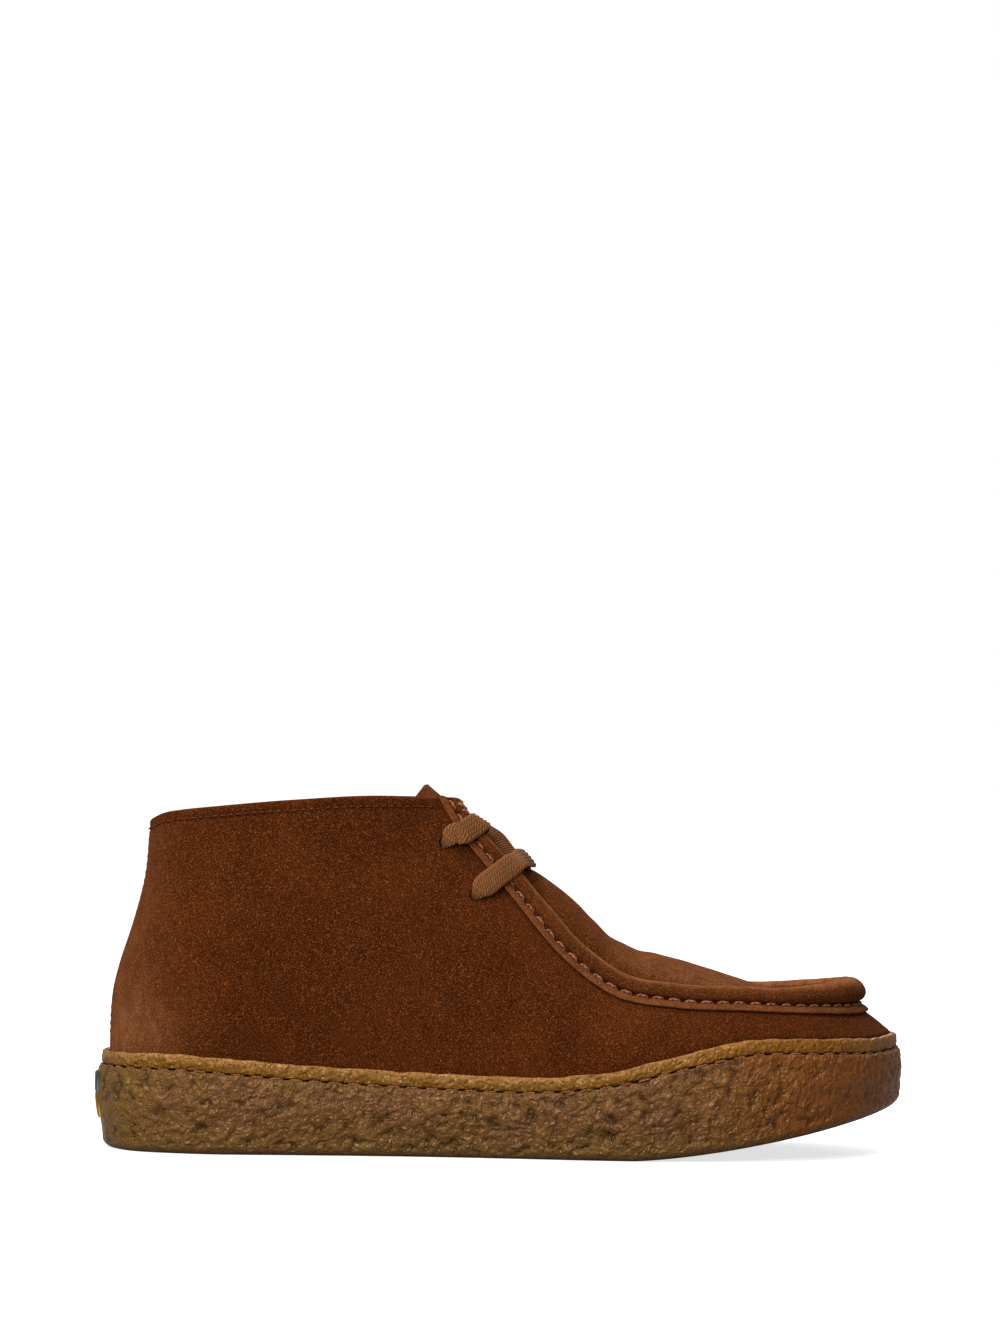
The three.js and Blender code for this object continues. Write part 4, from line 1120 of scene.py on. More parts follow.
def make_apron(props):
    """Apron and tongue: cross lines from the toe to the collar, then on to the tongue's free end.

    The sheet dips beside the raised seam, and the tongue's end is rounded over its thickness.
    """
    steps = 230
    fine = np.linspace(TOE - 0.12, CORNER, 1501)
    shares = spaced(wall_point(fine, 1.0), steps)
    place = mix(TOE - 0.12, CORNER, shares)[:, None]
    tucked = np.linspace(-1, 0, 7)[:-1]
    across = np.concatenate([tucked, np.linspace(0, 1, 97), 1 - tucked[::-1]])[None]
    place, across = np.broadcast_arrays(place, across)
    lines = apron_lines(place, across)
    middle = 2 * np.clip(across[0], 0, 1) - 1
    rise = mix(RISE_AT_CROWN, RISE_AT_EDGE, (middle**2)[:, None]) * TONGUE_RISE
    tip = lines[-1] + rise * np.linspace(0, 1, 14)[1:, None, None]
    lines = np.concatenate([lines, tip])
    run = np.gradient(lines, axis=0)
    over = np.gradient(lines, axis=1)
    down = unit(np.cross(run, over))
    down *= np.where(down[..., 2:] > 0, -1, 1)
    rows, columns = lines.shape[:2]
    edge = 1 - np.abs(middle)
    x = lines[..., 0]
    valley = np.exp(-(((edge - 0.2) / 0.13) ** 2))[None]
    fold = -1.5 * MM * valley * ease(x, -0.03 * SOLE_LENGTH, 0.05 * SOLE_LENGTH)
    fold *= 1 - ease(x, 0.16 * SOLE_LENGTH, 0.3 * SOLE_LENGTH)
    toe_dip = -1.0 * MM * (1 - ease(edge, 0.0, 0.5))[None] * ease(x, 0.3 * SOLE_LENGTH, 0.42 * SOLE_LENGTH)
    slack = 0.25 * MM * cloud(lines, 14 * MM, 71) + 0.07 * MM * cloud(lines, 4.5 * MM, 72)
    creases = np.zeros_like(x)
    for crease_x, slant, depth in APRON_CREASES:
        off = x - crease_x * MM - slant * lines[..., 1]
        creases += depth * MM * np.exp(-((off / (3.6 * MM)) ** 2))
    free = ease(edge, 0.0, 0.25)[None]
    outer = lines - down * ((fold + toe_dip + (slack + creases) * free)[..., None])
    inner = lines + down * APRON_WALL
    number = np.arange(rows * columns).reshape(rows, columns)
    top = quads(rows, columns)
    bottom = quads(rows, columns)[:, ::-1] + rows * columns
    bulge = unit(lines[-1] - lines[-2]) * 0.7 * MM
    end_middle = (outer[-1] + inner[-1]) / 2 + bulge
    base = 2 * rows * columns
    end_numbers = base + np.arange(columns)
    border = np.concatenate([number[0, :-1], number[:-1, -1], number[-1, :0:-1], number[:0:-1, 0]])
    following = np.roll(border, -1)
    on_end = (border >= number[-1, 0]) & (following >= number[-1, 0])
    sides = np.stack([following, border, border + rows * columns, following + rows * columns], axis=-1)
    last = number[-1]
    outer_end = np.stack([last[:-1], last[1:], end_numbers[1:], end_numbers[:-1]], axis=-1)
    inner_last = last + rows * columns
    inner_end = np.stack([end_numbers[:-1], end_numbers[1:], inner_last[1:], inner_last[:-1]], axis=-1)
    closing = np.array(
        [
            [last[0], end_numbers[0], inner_last[0]],
            [end_numbers[-1], last[-1], inner_last[-1]],
        ]
    )
    points = np.concatenate([outer.reshape(-1, 3), inner.reshape(-1, 3), end_middle])
    groups = [top, bottom, sides[~on_end][:, ::-1], outer_end[:, ::-1], inner_end[:, ::-1], closing]
    face_finish = [np.zeros(len(group), int) for group in groups]
    face_finish[1][:] = 1
    face_finish[4][:] = 1
    tone = np.zeros((rows, columns))
    # Painted shade in the valley beside the raised seam and along the apron's edges under the roll; painted highlight
    # on the upward face of the plug, and a lighter cut end of the tongue.
    tone += -0.35 * valley * ease(x, 0, 0.05 * SOLE_LENGTH) * (1 - ease(x, 0.16 * SOLE_LENGTH, 0.3 * SOLE_LENGTH))
    tone -= 0.5 * (1 - ease(edge, 0.0, 0.16))[None]
    tone += 0.42 * ease(x, 0.03 * SOLE_LENGTH, 0.2 * SOLE_LENGTH) * free
    tone = np.concatenate([tone.ravel(), np.zeros(rows * columns), np.full(columns, 0.6)])
    suede = suede_finish("apron suede", tuple(props.apron_colour), 0.24)
    lining_leather = leather_finish("tongue lining", tuple(props.lining_colour))
    return make_piece(
        "suede_apron",
        points,
        groups,
        [suede, lining_leather],
        ["apron_tongue"],
        tone=tone,
        face_finish=face_finish,
    )


# Raised seam


def roll_at(place):
    """Width of the roll: slim at the collar, fuller along the vamp and fullest round the toe's tip."""
    rows_in = np.minimum(place, ROW_COUNT - place) - CORNER
    side = mix(ROLL_AT_COLLAR, ROLL_AT_VAMP, ease(rows_in, 0, ROLL_GROWING_ROWS))
    return mix(ROLL_AT_TOE, side, ease(np.abs(place - TOE), 0, ROLL_GROWING_ROWS))


def seam_section(place):
    """Section of the seam at places, as across and outward: flange, groove and roll.

    Across is measured from the wall's top edge towards the apron, outward from the wall's face. The
    flange has a round edge, the groove dips beside the roll, and the roll is an ellipse. Under the roll
    a stem reaches down past the wall's top edge, clear of wall and apron, so no light passes under it.
    """
    width = roll_at(place) / 2
    depth = width * ROLL_DEPTH
    centre = width - GROOVE_OFFSET, SEAM_LIFT + depth
    tip = (FLANGE_THICKNESS - SEAM_LIFT) / 2
    nothing = 0 * place
    turn = np.radians(np.linspace(270, 90, 9))[None]
    tip_outward = SEAM_LIFT + tip + tip * np.sin(turn) + nothing
    parts = [(-FLANGE_WIDTH + tip + tip * np.cos(turn) + nothing, tip_outward)]
    flat = np.linspace(0, 1, 8)[None, 1:]
    shoulder = -GROOVE_OFFSET - 1.0 * MM
    crown = 0.14 * MM * np.sin(flat * np.pi)
    parts.append((mix(-FLANGE_WIDTH + tip, shoulder, flat) + nothing, FLANGE_THICKNESS + crown + nothing))
    first = np.radians(222)
    start = (centre[0] + width * np.cos(first), centre[1] + depth * np.sin(first))
    dip = np.linspace(0, 1, 8)[None, 1:-1]
    floor = 0.85 * MM
    drop = hermite(FLANGE_THICKNESS, start[1], 0.2 * MM, 1.5 * MM, dip)
    sag = (FLANGE_THICKNESS - floor) * np.sin(dip * np.pi) ** 1.2
    parts.append((mix(shoulder, start[0], dip), drop - sag * 0.75))
    turn = np.radians(np.linspace(222, -70, 26))[None]
    parts.append((centre[0] + width * np.cos(turn), centre[1] + depth * np.sin(turn)))
    end = (centre[0] + width * np.cos(turn[0, -1]), centre[1] + depth * np.sin(turn[0, -1]))
    stem = mix(STEM_PLACE, end[0], 0.5)
    parts.append((stem, end[1]))
    parts.append((stem, STEM_FOOT + nothing))
    parts.append((STEM_PLACE + nothing, STEM_FOOT + nothing))
    parts.append((STEM_PLACE + nothing, SEAM_LIFT + nothing))
    back = np.linspace(0, 1, 7)[None, 1:-1]
    parts.append((mix(STEM_PLACE, -FLANGE_WIDTH + tip, back) + nothing, SEAM_LIFT + 0 * back + nothing))
    across = np.concatenate([part[0] for part in parts], axis=1)
    outward = np.concatenate([part[1] for part in parts], axis=1)
    return across, outward


def out_from_face(target, near, outward):
    """Points out from the wall's face, found by halving from the x and z of points near it."""
    reach = 1.5
    towards_toe = np.where(near < TOE, 1.0, -1.0)
    behind = near - reach * towards_toe
    ahead = near + reach * towards_toe

    def height_for(place):
        foot = along("rim", place)
        return np.minimum(1, (target[..., 2] - foot) / (along("top_z", place) - foot))

    for _ in range(22):
        middle = (behind + ahead) / 2
        short = wall_point(middle, height_for(middle))[..., 0] < target[..., 0]
        behind = np.where(short, middle, behind)
        ahead = np.where(short, ahead, middle)
    place = (behind + ahead) / 2
    return beside_wall(place, height_for(place), outward)


def seam_place(place, across, outward):
    """Points of the seam from its section: the roll square to the edge, the flange laid on the wall."""
    up, run, out, square = wall_frame(place, 1.0 + 0 * place)
    edge = wall_point(place, 1.0 + 0 * place)
    first = CORNER + 0.1
    last = ROW_COUNT - first
    fade = lambda rows_in: 0.8 * (1 - ease(rows_in, 0, 1.2))
    slant = fade(place - first) - fade(last - place)
    beside = edge + square * across[..., None] + run * (slant * across)[..., None]
    raised = beside + out * outward[..., None]
    laid = out_from_face(beside, place, outward)
    round_toe = beside_wall(place, 1 + across * up[..., 2] / wall_rise(place), outward)
    far = ease(np.abs(place - TOE), 2.5, 3.5)[..., None]
    flange = mix(round_toe, laid, far)
    share = ease(across, -GROOVE_OFFSET - 0.6 * MM, -GROOVE_OFFSET + 0.6 * MM)[..., None]
    return mix(flange, raised, share)


def seam_places(count, margin=0.1):
    """Places along the seam with equal steps of length."""
    first = CORNER + margin
    last = ROW_COUNT - first
    fine = np.linspace(first, last, 3001)
    return mix(first, last, spaced(wall_point(fine, 1.0), count))


def seam_length():
    """Length of the seam line along the wall's top."""
    fine = np.linspace(CORNER + 0.1, ROW_COUNT - CORNER - 0.1, 3001)
    return np.linalg.norm(np.diff(wall_point(fine, 1.0), axis=0), axis=1).sum()


def make_ridge(props):
    """Raised moccasin seam: its section carried along the wall's top edge, pinched at every stitch hole."""
    count = 1300
    place = seam_places(count)[:, None]
    across, outward = seam_section(place)
    place = np.broadcast_to(place, across.shape)
    length = np.linspace(0, seam_length(), count)[:, None]
    beat = np.cos(length / props.seam_pitch * 2 * np.pi) ** 8 * (np.cos(length / props.seam_pitch * 2 * np.pi) > 0)
    near_groove = np.exp(-(((across + GROOVE_OFFSET) / (1.7 * MM)) ** 2))
    top = ease(outward, 0.8 * MM, 1.6 * MM)
    pinch = 0.32 * MM * beat * near_groove * top
    soft = roll_at(place) / ROLL_AT_VAMP
    rough = 0.12 * MM * cloud(np.stack([length + 0 * across, across, outward], axis=-1), 5 * MM, 83) * soft
    sway = 0.25 * MM * cloud(np.stack([length + 0 * across, 0 * across, 0 * across], axis=-1), 14 * MM, 84) * soft
    outward = outward - pinch + (rough + sway) * ease(outward, 1.2 * MM, 3 * MM)
    points = seam_place(place, across, outward)
    rows, columns = across.shape
    faces = quads(rows, columns, closed_v=True)
    caps = np.stack([np.arange(columns)[::-1], (rows - 1) * columns + np.arange(columns)])
    groove = np.exp(-(((across + 2.0 * MM) / (0.6 * MM)) ** 2)) * (outward < 2.2 * MM)
    hole = beat * np.exp(-(((across + GROOVE_OFFSET) / (0.9 * MM)) ** 2)) * (outward < 2.6 * MM)
    roll = roll_at(place)
    crest = ease(across, -0.1 * roll, 0.6 * roll) * ease(outward, 0.2 * roll, 0.45 * roll)
    edge = ease(across, -FLANGE_WIDTH + 0.8 * MM, -FLANGE_WIDTH)
    low_side = near_groove * ease(outward, 1.9 * MM, 2.6 * MM)
    flange = ease(across, -GROOVE_OFFSET - 0.5 * MM, -GROOVE_OFFSET - 1.2 * MM)
    # Painted shade in the groove, in the stitch holes and on the roll's low side; painted highlight on the roll's crest
    # and the flange's face; the flange's raw edge a little lighter, partly painted highlight.
    tone = -0.7 * groove - 0.9 * hole + 0.85 * crest + 0.1 * edge - 0.2 * low_side + 0.4 * flange
    suede = suede_finish("seam suede", tuple(props.seam_colour), 0.24)
    return make_piece(
        "moccasin_ridge",
        points.reshape(-1, 3),
        [faces, caps],
        [suede],
        ["raised_seam"],
        tone=tone,
    )


# Laces


def smooth_line(stops, steps):
    """Cubic through rows of numbers, with slopes weighted by the distances between their first three."""
    stops = np.asarray(stops, float)
    gaps = np.sqrt(np.linalg.norm(np.diff(stops[:, :3], axis=0), axis=1))
    knots = np.concatenate([[0], np.cumsum(gaps)])
    slopes = np.empty_like(stops)
    chords = np.diff(stops, axis=0) / gaps[:, None]
    slopes[1:-1] = (chords[:-1] * gaps[1:, None] + chords[1:] * gaps[:-1, None]) / (gaps[:-1] + gaps[1:])[:, None]
    slopes[0] = chords[0]
    slopes[-1] = chords[-1]
    at = np.linspace(0, knots[-1], steps)
    i = np.clip(np.searchsorted(knots, at, side="right") - 1, 0, len(gaps) - 1)
    f = ((at - knots[i]) / gaps[i])[:, None]
    gap = gaps[i][:, None]
    return hermite(stops[i], stops[i + 1], slopes[i] * gap, slopes[i + 1] * gap, f)


def lace_band(stops, steps, props):
    """A flat ribbed band along stops of point, face direction, width share and thickness share.

    Its section is a flattened ring whose two faces carry ribs, as a cosine across the width.
    """
    line = smooth_line(stops, steps)
    centre = line[:, :3]
    run = unit(np.gradient(centre, axis=0))
    side = unit(np.cross(run, line[:, 3:6]))
    out = unit(np.cross(side, run))
    face = np.sin(np.linspace(np.pi / 2, -np.pi / 2, 37)[:-1])
    wide = np.concatenate([face, -face])[None]
    round_edge = np.sqrt(1 - np.clip(np.abs(wide), 0, 1) ** 6)
    thick = np.repeat([1, -1], len(face))[None] * round_edge
    ribs = np.cos(wide * np.pi * props.ribs) * round_edge
    half_width = props.width / 2 * line[:, 6:7]
    half_thick = props.thickness / 2 * line[:, 7:8]
    cup = 0.35 * MM * (wide**2 - 0.4) * np.clip(line[:, 6:7], 0, 1)
    height = half_thick * thick + 0.2 * MM * ribs * np.sign(thick) - cup
    points = centre[:, None] + side[:, None] * (half_width * wide)[..., None] + out[:, None] * height[..., None]
    lengths = np.concatenate([[0], np.cumsum(np.linalg.norm(np.diff(centre, axis=0), axis=1))])
    uv = np.stack(np.broadcast_arrays(lengths[:, None], wide / 2 + 0.5 + 0 * lengths[:, None]), axis=-1)
    # The tone is below 0 between the ribs, where the finish paints shade.
    tone = np.minimum(0, ribs * 0.5 - 0.25) + 0 * lengths[:, None]
    return points, uv, tone


def over_seam(eyelet, crossing, mirrored, props):
    """Stops of a lace from inside an eyelet, out and over the raised seam, on one side."""
    row, height = EYELETS[eyelet]
    side = (lambda place: ROW_COUNT - place) if mirrored else (lambda place: place)
    place = side(row)
    seam = side(crossing)
    up, run, out, square = wall_frame(place, height)
    edge = wall_point(seam, 1.0)
    _, _, seam_out, seam_square = wall_frame(seam, 1.0)
    roll = roll_at(seam)
    lift = props.thickness / 2 + CLEARANCE
    crest = SEAM_LIFT + roll * ROLL_DEPTH + lift
    on_seam = lambda across, outward: edge + seam_square * across + seam_out * outward
    upward = unit(mix(seam_out, np.array((0, 0, 1)), 0.35))
    mouth = beside_wall(place, height, 0.0)
    towards = unit(on_seam(-FLANGE_WIDTH, 0) - mouth)
    face = unit(out - towards * 0.25)
    bow = up * (1.4 * MM, 0.4 * MM)[eyelet]
    stops = [
        (*(mouth - out * 5.5 * MM + towards * 0.2 * MM), *towards * -1, 0.3, 2.0),
        (*(mouth - out * 1.5 * MM + towards * 0.4 * MM), *unit(out * 0.2 - towards), 0.42, 1.7),
        (*(mouth + out * 1.1 * MM + towards * 1.1 * MM + bow * 0.3), *unit(out - towards * 0.9), 0.66, 1.4),
        (*(mouth + out * (lift + 0.75 * MM) + towards * 3.2 * MM + bow), *face, 1.0, 1.15),
        (*on_seam(-FLANGE_WIDTH - 0.4 * MM, FLANGE_THICKNESS + lift + 0.55 * MM), *seam_out, 1.05, 1.0),
        (*on_seam(-GROOVE_OFFSET - 0.6 * MM, FLANGE_THICKNESS + lift + 1.0 * MM), *seam_out, 1.06, 1.0),
        (*on_seam(0.45 * roll - GROOVE_OFFSET, crest + 0.25 * MM), *seam_out, 1.04, 1.0),
        (*on_seam(roll - GROOVE_OFFSET + 0.4 * MM, crest - 0.1 * MM), *upward, 1.0, 1.0),
    ]
    return stops


# Stops of the laces over the tongue, on the outer side: x, y and z in millimetres, the direction that
# the lace faces, and its width and thickness as shares. The bar goes on to the middle of
# the crown. Each end stands half on its edge, slides down the tongue and is tucked under the bar.
BAR_STOPS = (
    (8.2, -10.0, 108.6, 0.62, -0.5, 0.62, 1.04, 1.0),
    (10.2, 0.0, 108.4, 0.76, 0.0, 0.65, 1.04, 1.0),
)
END_STOPS = (
    (-8.0, -12.6, 119.8, 0.2, -0.6, 0.8, 1.0, 1.0),
    (-4.2, -10.2, 117.8, 0.35, -0.55, 0.75, 1.0, 1.0),
    (-0.6, -8.4, 115.0, 0.5, -0.6, 0.6, 1.0, 1.0),
    (3.6, -6.4, 110.6, 0.6, -0.45, 0.65, 0.98, 0.9),
    (10.2, -4.2, 104.8, 0.62, 0.0, 0.78, 0.9, 0.7),
)


def placed_stops(rows, side):
    """Listed stops in metres; side is -1 for the outer side and 1 for the inner one."""
    flip = np.array((MM, -side * MM, MM, 1, -side, 1, 1, 1))
    return [tuple(np.array(row) * flip) for row in rows]


def inside_run(mirrored, props):
    """Stops of the lace's hidden stretch, flat on the lining from the lower eyelet to the upper one."""
    side = (lambda place: ROW_COUNT - place) if mirrored else (lambda place: place)
    stops = []
    (upper_row, upper_height), (lower_row, lower_height) = EYELETS
    for share in (-0.22, 0.0, 0.5, 1.0, 1.22):
        place = side(mix(lower_row, upper_row, share))
        height = mix(lower_height, upper_height, share)
        out = wall_frame(place, height)[2]
        point = beside_wall(place, height, -UPPER_WALL - 1.3 * MM)
        stops.append((*point, *-out, 0.9, 0.9))
    return stops


def make_lace(props):
    """Laces: a bar between the lower eyelets, an end from each upper eyelet that slides down the tongue
    under the bar, and a hidden stretch inside from the lower to the upper eyelet on each side."""
    bar_crossing = 6.8
    end_crossing = 5.95
    bar = over_seam(1, bar_crossing, False, props)
    bar += placed_stops(BAR_STOPS, -1) + placed_stops(BAR_STOPS[:1], 1)
    bar += over_seam(1, bar_crossing, True, props)[::-1]
    bands = [lace_band(bar, 260, props)]
    for mirrored, side in ((False, -1), (True, 1)):
        end = over_seam(0, end_crossing, mirrored, props) + placed_stops(END_STOPS, side)
        bands.append(lace_band(end, 220, props))
        bands.append(lace_band(inside_run(mirrored, props), 60, props))
    points, groups, uvs, tones = [], [], [], []
    start = 0
    for band, uv, tone in bands:
        rows, columns = band.shape[:2]
        ends = np.stack([np.arange(columns)[::-1], (rows - 1) * columns + np.arange(columns)]) + start
        body = quads(rows, columns, closed_v=True, start=start)
        if shell_volume(np.concatenate([*points, band.reshape(-1, 3)]), [body, ends]) < 0:
            body, ends = body[:, ::-1], ends[:, ::-1]
        points.append(band.reshape(-1, 3))
        uvs.append(uv.reshape(-1, 2))
        tones.append(tone.ravel())
        groups += [body, ends]
        start += rows * columns
    finish = lace_finish("cotton lace", props)
    return make_piece(
        "flat_lace",
        np.concatenate(points),
        groups,
        [finish],
        ["lace"],
        tone=np.concatenate(tones),
        uv=np.concatenate(uvs),
    )


# Stitches


def stitch_row(name, line, outs, pitch, share, radius, dip, finish, lean=0.0, phase=0.5):
    """A row of stitches along a line of points: each a thread that bows out and dips in at its ends.

    The thread's middle follows the line by length, its height falls by dip times the fourth power of
    the distance from its middle, and its section is a ring of six points.
    """
    lengths = np.concatenate([[0], np.cumsum(np.linalg.norm(np.diff(line, axis=0), axis=1))])
    number = int(lengths[-1] / pitch)
    pitch = lengths[-1] / number
    beads, sides = 9, 7
    s = np.linspace(-1, 1, beads)
    at = (np.arange(number)[:, None] + phase) * pitch + s[None] * pitch * share / 2
    at = np.clip(at, 0, lengths[-1])
    read = lambda values: np.stack([np.interp(at, lengths, values[:, k]) for k in range(3)], axis=-1)
    centre = read(line)
    out = unit(read(outs))
    run = unit(np.gradient(centre, axis=1))
    side = unit(np.cross(out, run))
    centre = centre - out * (dip * s**4)[None, :, None] + side * (lean * s)[None, :, None]
    girth = radius * np.sqrt(np.clip(1.04 - np.abs(s) ** 5, 0.04, 1))[None, :, None, None]
    turn = np.linspace(0, 2 * np.pi, sides, endpoint=False)
    ring = out[:, :, None] * np.cos(turn)[:, None] + side[:, :, None] * np.sin(turn)[:, None]
    points = centre[:, :, None] + ring * girth
    each = beads * sides
    body = quads(beads, sides, closed_v=True)
    ends = np.stack([np.arange(sides)[::-1], (beads - 1) * sides + np.arange(sides)])
    starts = (np.arange(number) * each)[:, None, None]
    faces = [(group[None] + starts).reshape(-1, group.shape[1]) for group in (body, ends)]
    uv = np.zeros((*points.shape[:3], 2))
    uv[..., 0] = at[:, :, None] / (2 * radius)
    uv[..., 1] = np.arange(sides) / sides
    return make_piece(name, points.reshape(-1, 3), faces, [finish], uv=uv)


def make_seam_stitches(props):
    """Long stitches in the groove of the raised seam."""
    count = 1400
    place = seam_places(count)[:, None]
    across = np.full((count, 1), -GROOVE_OFFSET - 0.15 * MM)
    line = seam_place(place, across, np.full((count, 1), 1.75 * MM))[:, 0]
    outs = wall_frame(place[:, 0], 1.0 + 0 * place[:, 0])[2]
    finish = thread_finish("seam thread", linear(196, 128, 92), linear(104, 56, 34), 0.5)
    return stitch_row(
        "seam_stitches", line, outs, props.seam_pitch, 0.74, 0.5 * MM, 0.75 * MM, finish
    )


def make_sole_stitches(props):
    """Stitches round the sole, in the corner between the ledge and the band."""
    fine = ring_places(2400)
    fine = np.append(fine, ROW_COUNT)
    x, y = outline_at(fine, LEDGE_WIDTH - 0.45 * MM)
    line = np.stack([x, y, ledge_at(fine) + 0.2 * MM], axis=-1)
    out_x, out_y = outline_at(fine, 0)
    outs = unit(np.stack([out_x - x, out_y - y, np.full(len(fine), 0.8 * MM)], axis=-1))
    finish = thread_finish("sole thread", linear(176, 116, 74), linear(82, 36, 20), 0.5)
    return stitch_row(
        "sole_stitches", line, outs, props.sole_pitch, 0.72, 0.36 * MM, 0.7 * MM, finish
    )


def make_collar_stitches(props):
    """Fine stitches along the collar's hem."""
    rows_wanted = np.concatenate([np.linspace(ROW_COUNT - CORNER + 0.18, ROW_COUNT, 400), np.linspace(0, CORNER - 0.18, 400)])
    height = 1 - props.collar_hem / wall_rise(rows_wanted)
    line = beside_wall(rows_wanted, height, 0.1 * MM + 0 * rows_wanted)
    outs = wall_frame(rows_wanted, height)[2]
    finish = thread_finish("collar thread", linear(132, 70, 46), linear(58, 26, 14), 0.5)
    return stitch_row(
        "collar_stitches", line, outs, props.collar_pitch, 0.7, 0.3 * MM, 0.5 * MM, finish
    )


def make_tacks(props):
    """Tacks at the two upper ends of the ridge: three thick stitches side by side along the roll."""
    finish = thread_finish("tack thread", linear(210, 140, 106), linear(132, 72, 50), 0.5)
    made = []
    for name, first, last in (("outer_tack", 5.2, 5.62), ("inner_tack", ROW_COUNT - 5.62, ROW_COUNT - 5.2)):
        place = np.linspace(first, last, 60)[:, None]
        roll = roll_at(place)
        turn = np.radians(78)
        across = roll / 2 * (1 + np.cos(turn)) - GROOVE_OFFSET
        outward = SEAM_LIFT + roll / 2 * ROLL_DEPTH * (1 + np.sin(turn)) + 0.1 * MM
        line = seam_place(place, across, outward)[:, 0]
        outs = wall_frame(place[:, 0], 1.0 + 0 * place[:, 0])[2]
        piece = stitch_row(name, line, outs, 2.3 * MM, 0.95, 0.55 * MM, 0.4 * MM, finish, 0.8 * MM)
        made.append(piece)
    return made


def make_back_stitches(props):
    """Two rows of stitches beside the seam down the heel's back."""
    finish = thread_finish("back seam thread", linear(74, 36, 16), linear(30, 13, 5), 0.5)
    heights = np.linspace(0.06, 0.93, 300)
    made = []
    for name, place in (("back_stitches_outer", 0.07), ("back_stitches_inner", ROW_COUNT - 0.07)):
        at = np.full(heights.shape, place)
        line = beside_wall(at, heights, -0.28 * MM + 0 * heights)
        outs = wall_frame(at, heights)[2]
        made.append(
            stitch_row(name, line, outs, props.collar_pitch, 0.7, 0.3 * MM, 0.4 * MM, finish)
        )
    return made


def make_heel_tab(props):
    """Bare tab on the heel's back: a thin plate that follows the sole's outline, in two plain colours."""
    made = []
    colours = (
        ("heel_tab_lower", 11.0 * MM, 20.3 * MM, linear(196, 146, 22)),
        ("heel_tab_upper", 20.6 * MM, 28.0 * MM, linear(96, 106, 116)),
    )
    for name, low, high, colour in colours:
        place = np.linspace(-0.3, 0.3, 41)[:, None]
        thickness = 0.9 * MM
        turn = np.linspace(0, 2 * np.pi, 32, endpoint=False)[None]
        upward = np.sign(np.sin(turn)) * np.abs(np.sin(turn)) ** 0.5
        outward = np.sign(np.cos(turn)) * np.abs(np.cos(turn)) ** 0.5
        z = mix(low, high, (upward + 1) / 2) + 0 * place
        share = z / ledge_at(place)
        inset = swell_at(place) * (1 - ease(share, 0, 0.7)) - 0.25 * MM - outward * thickness / 2
        x, y = outline_at(place, inset)
        points = np.stack([x, y, z], axis=-1)
        rows, columns = z.shape
        ends = np.stack([np.arange(columns)[::-1], (rows - 1) * columns + np.arange(columns)])
        finish = plain_finish(name.replace("_", " "), colour, 0.45)
        groups = [quads(rows, columns, closed_v=True), ends]
        made.append(make_piece(name, points.reshape(-1, 3), groups, [finish]))
    return made


# Stage

# The camera stands level with the collar at the boot's outer side, tipped up a little and turned a
# little about its own axis.
CAMERA_PLACE = (-1.16 * MM, -1750 * MM, 142 * MM)
CAMERA_LENS = 126.56
CAMERA_PITCH = 1.23
CAMERA_ROLL = 0.5


def make_camera():
    """Camera at the photograph's place, with its axes worked out from pitch and roll."""
    pitch = math.radians(CAMERA_PITCH)
    roll = math.radians(CAMERA_ROLL)
    level = Vector((1, 0, 0))
    tipped = Vector((0, -math.sin(pitch), math.cos(pitch)))
    back = Vector((0, -math.cos(pitch), -math.sin(pitch)))
    right = level * math.cos(roll) + tipped * math.sin(roll)
    up = tipped * math.cos(roll) - level * math.sin(roll)
    data = bpy.data.cameras.new("camera")
    data.lens = CAMERA_LENS
    data.clip_start = 0.05
    data.clip_end = 60
    camera = bpy.data.objects.new("camera", data)
    turned = Matrix((right, up, back)).transposed().to_4x4()
    camera.matrix_world = Matrix.Translation(CAMERA_PLACE) @ turned
    bpy.context.scene.collection.objects.link(camera)
    bpy.context.scene.camera = camera
    return camera


def make_floor(props):
    """Pale floor: a wide disc whose edge lies far beyond the view."""
    rings = np.array([0.02, 0.6, 1.5, 4, 12, 30])[:, None]
    turn = np.linspace(0, 2 * np.pi, 96, endpoint=False)[None]
    points = np.stack([rings * np.cos(turn), rings * np.sin(turn), 0 * rings * turn], axis=-1)
    mesh = bpy.data.meshes.new("floor")
    faces = quads(len(rings), turn.shape[1], closed_v=True).tolist() + [list(range(turn.shape[1]))]
    mesh.from_pydata(points.reshape(-1, 3).tolist(), [], faces)
    mesh.validate()
    floor = bpy.data.objects.new("floor", mesh)
    bpy.context.scene.collection.objects.link(floor)
    finish = Finish("floor paint", Roughness=0.9)
    colour = tuple(props.floor_colour)
    tint = finish.blend(finish.spot(finish.noise(0.4, 2, 0.5), 0.3, 0.7), shade(colour, 0.995), colour)
    seen = finish.nodes.new("ShaderNodeLightPath").outputs["Is Camera Ray"]
    tint = finish.blend(seen, shade(colour, props.floor_bounce), tint)
    footprint = finish.spread(1.0, (1 / SOLE_LENGTH, 0.5 / HALF_WIDTH, 1))
    distance = finish.put("ShaderNodeVectorMath", {0: footprint}, operation="LENGTH").outputs["Value"]
    glow = finish.spot(distance, 0.45, 1.5, props.floor_glow, 1.0)
    finish.shader.inputs["Emission Color"].default_value = (1, 1, 1, 1)
    finish.links.new(finish.sums(glow, seen, "MULTIPLY"), finish.shader.inputs["Emission Strength"])
    mesh.materials.append(finish.done(tint))
    return floor


def make_light(name, place, target, size, power, colour=(1, 1, 1)):
    """Square soft light turned towards a point."""
    data = bpy.data.lights.new(name, "AREA")
    data.shape = "RECTANGLE"
    data.size = size[0]
    data.size_y = size[1]
    data.energy = power
    data.color = colour
    light = bpy.data.objects.new(name, data)
    light.location = place
    direction = Vector(target) - Vector(place)
    light.rotation_euler = direction.to_track_quat("-Z", "Y").to_euler()
    bpy.context.scene.collection.objects.link(light)
    return light


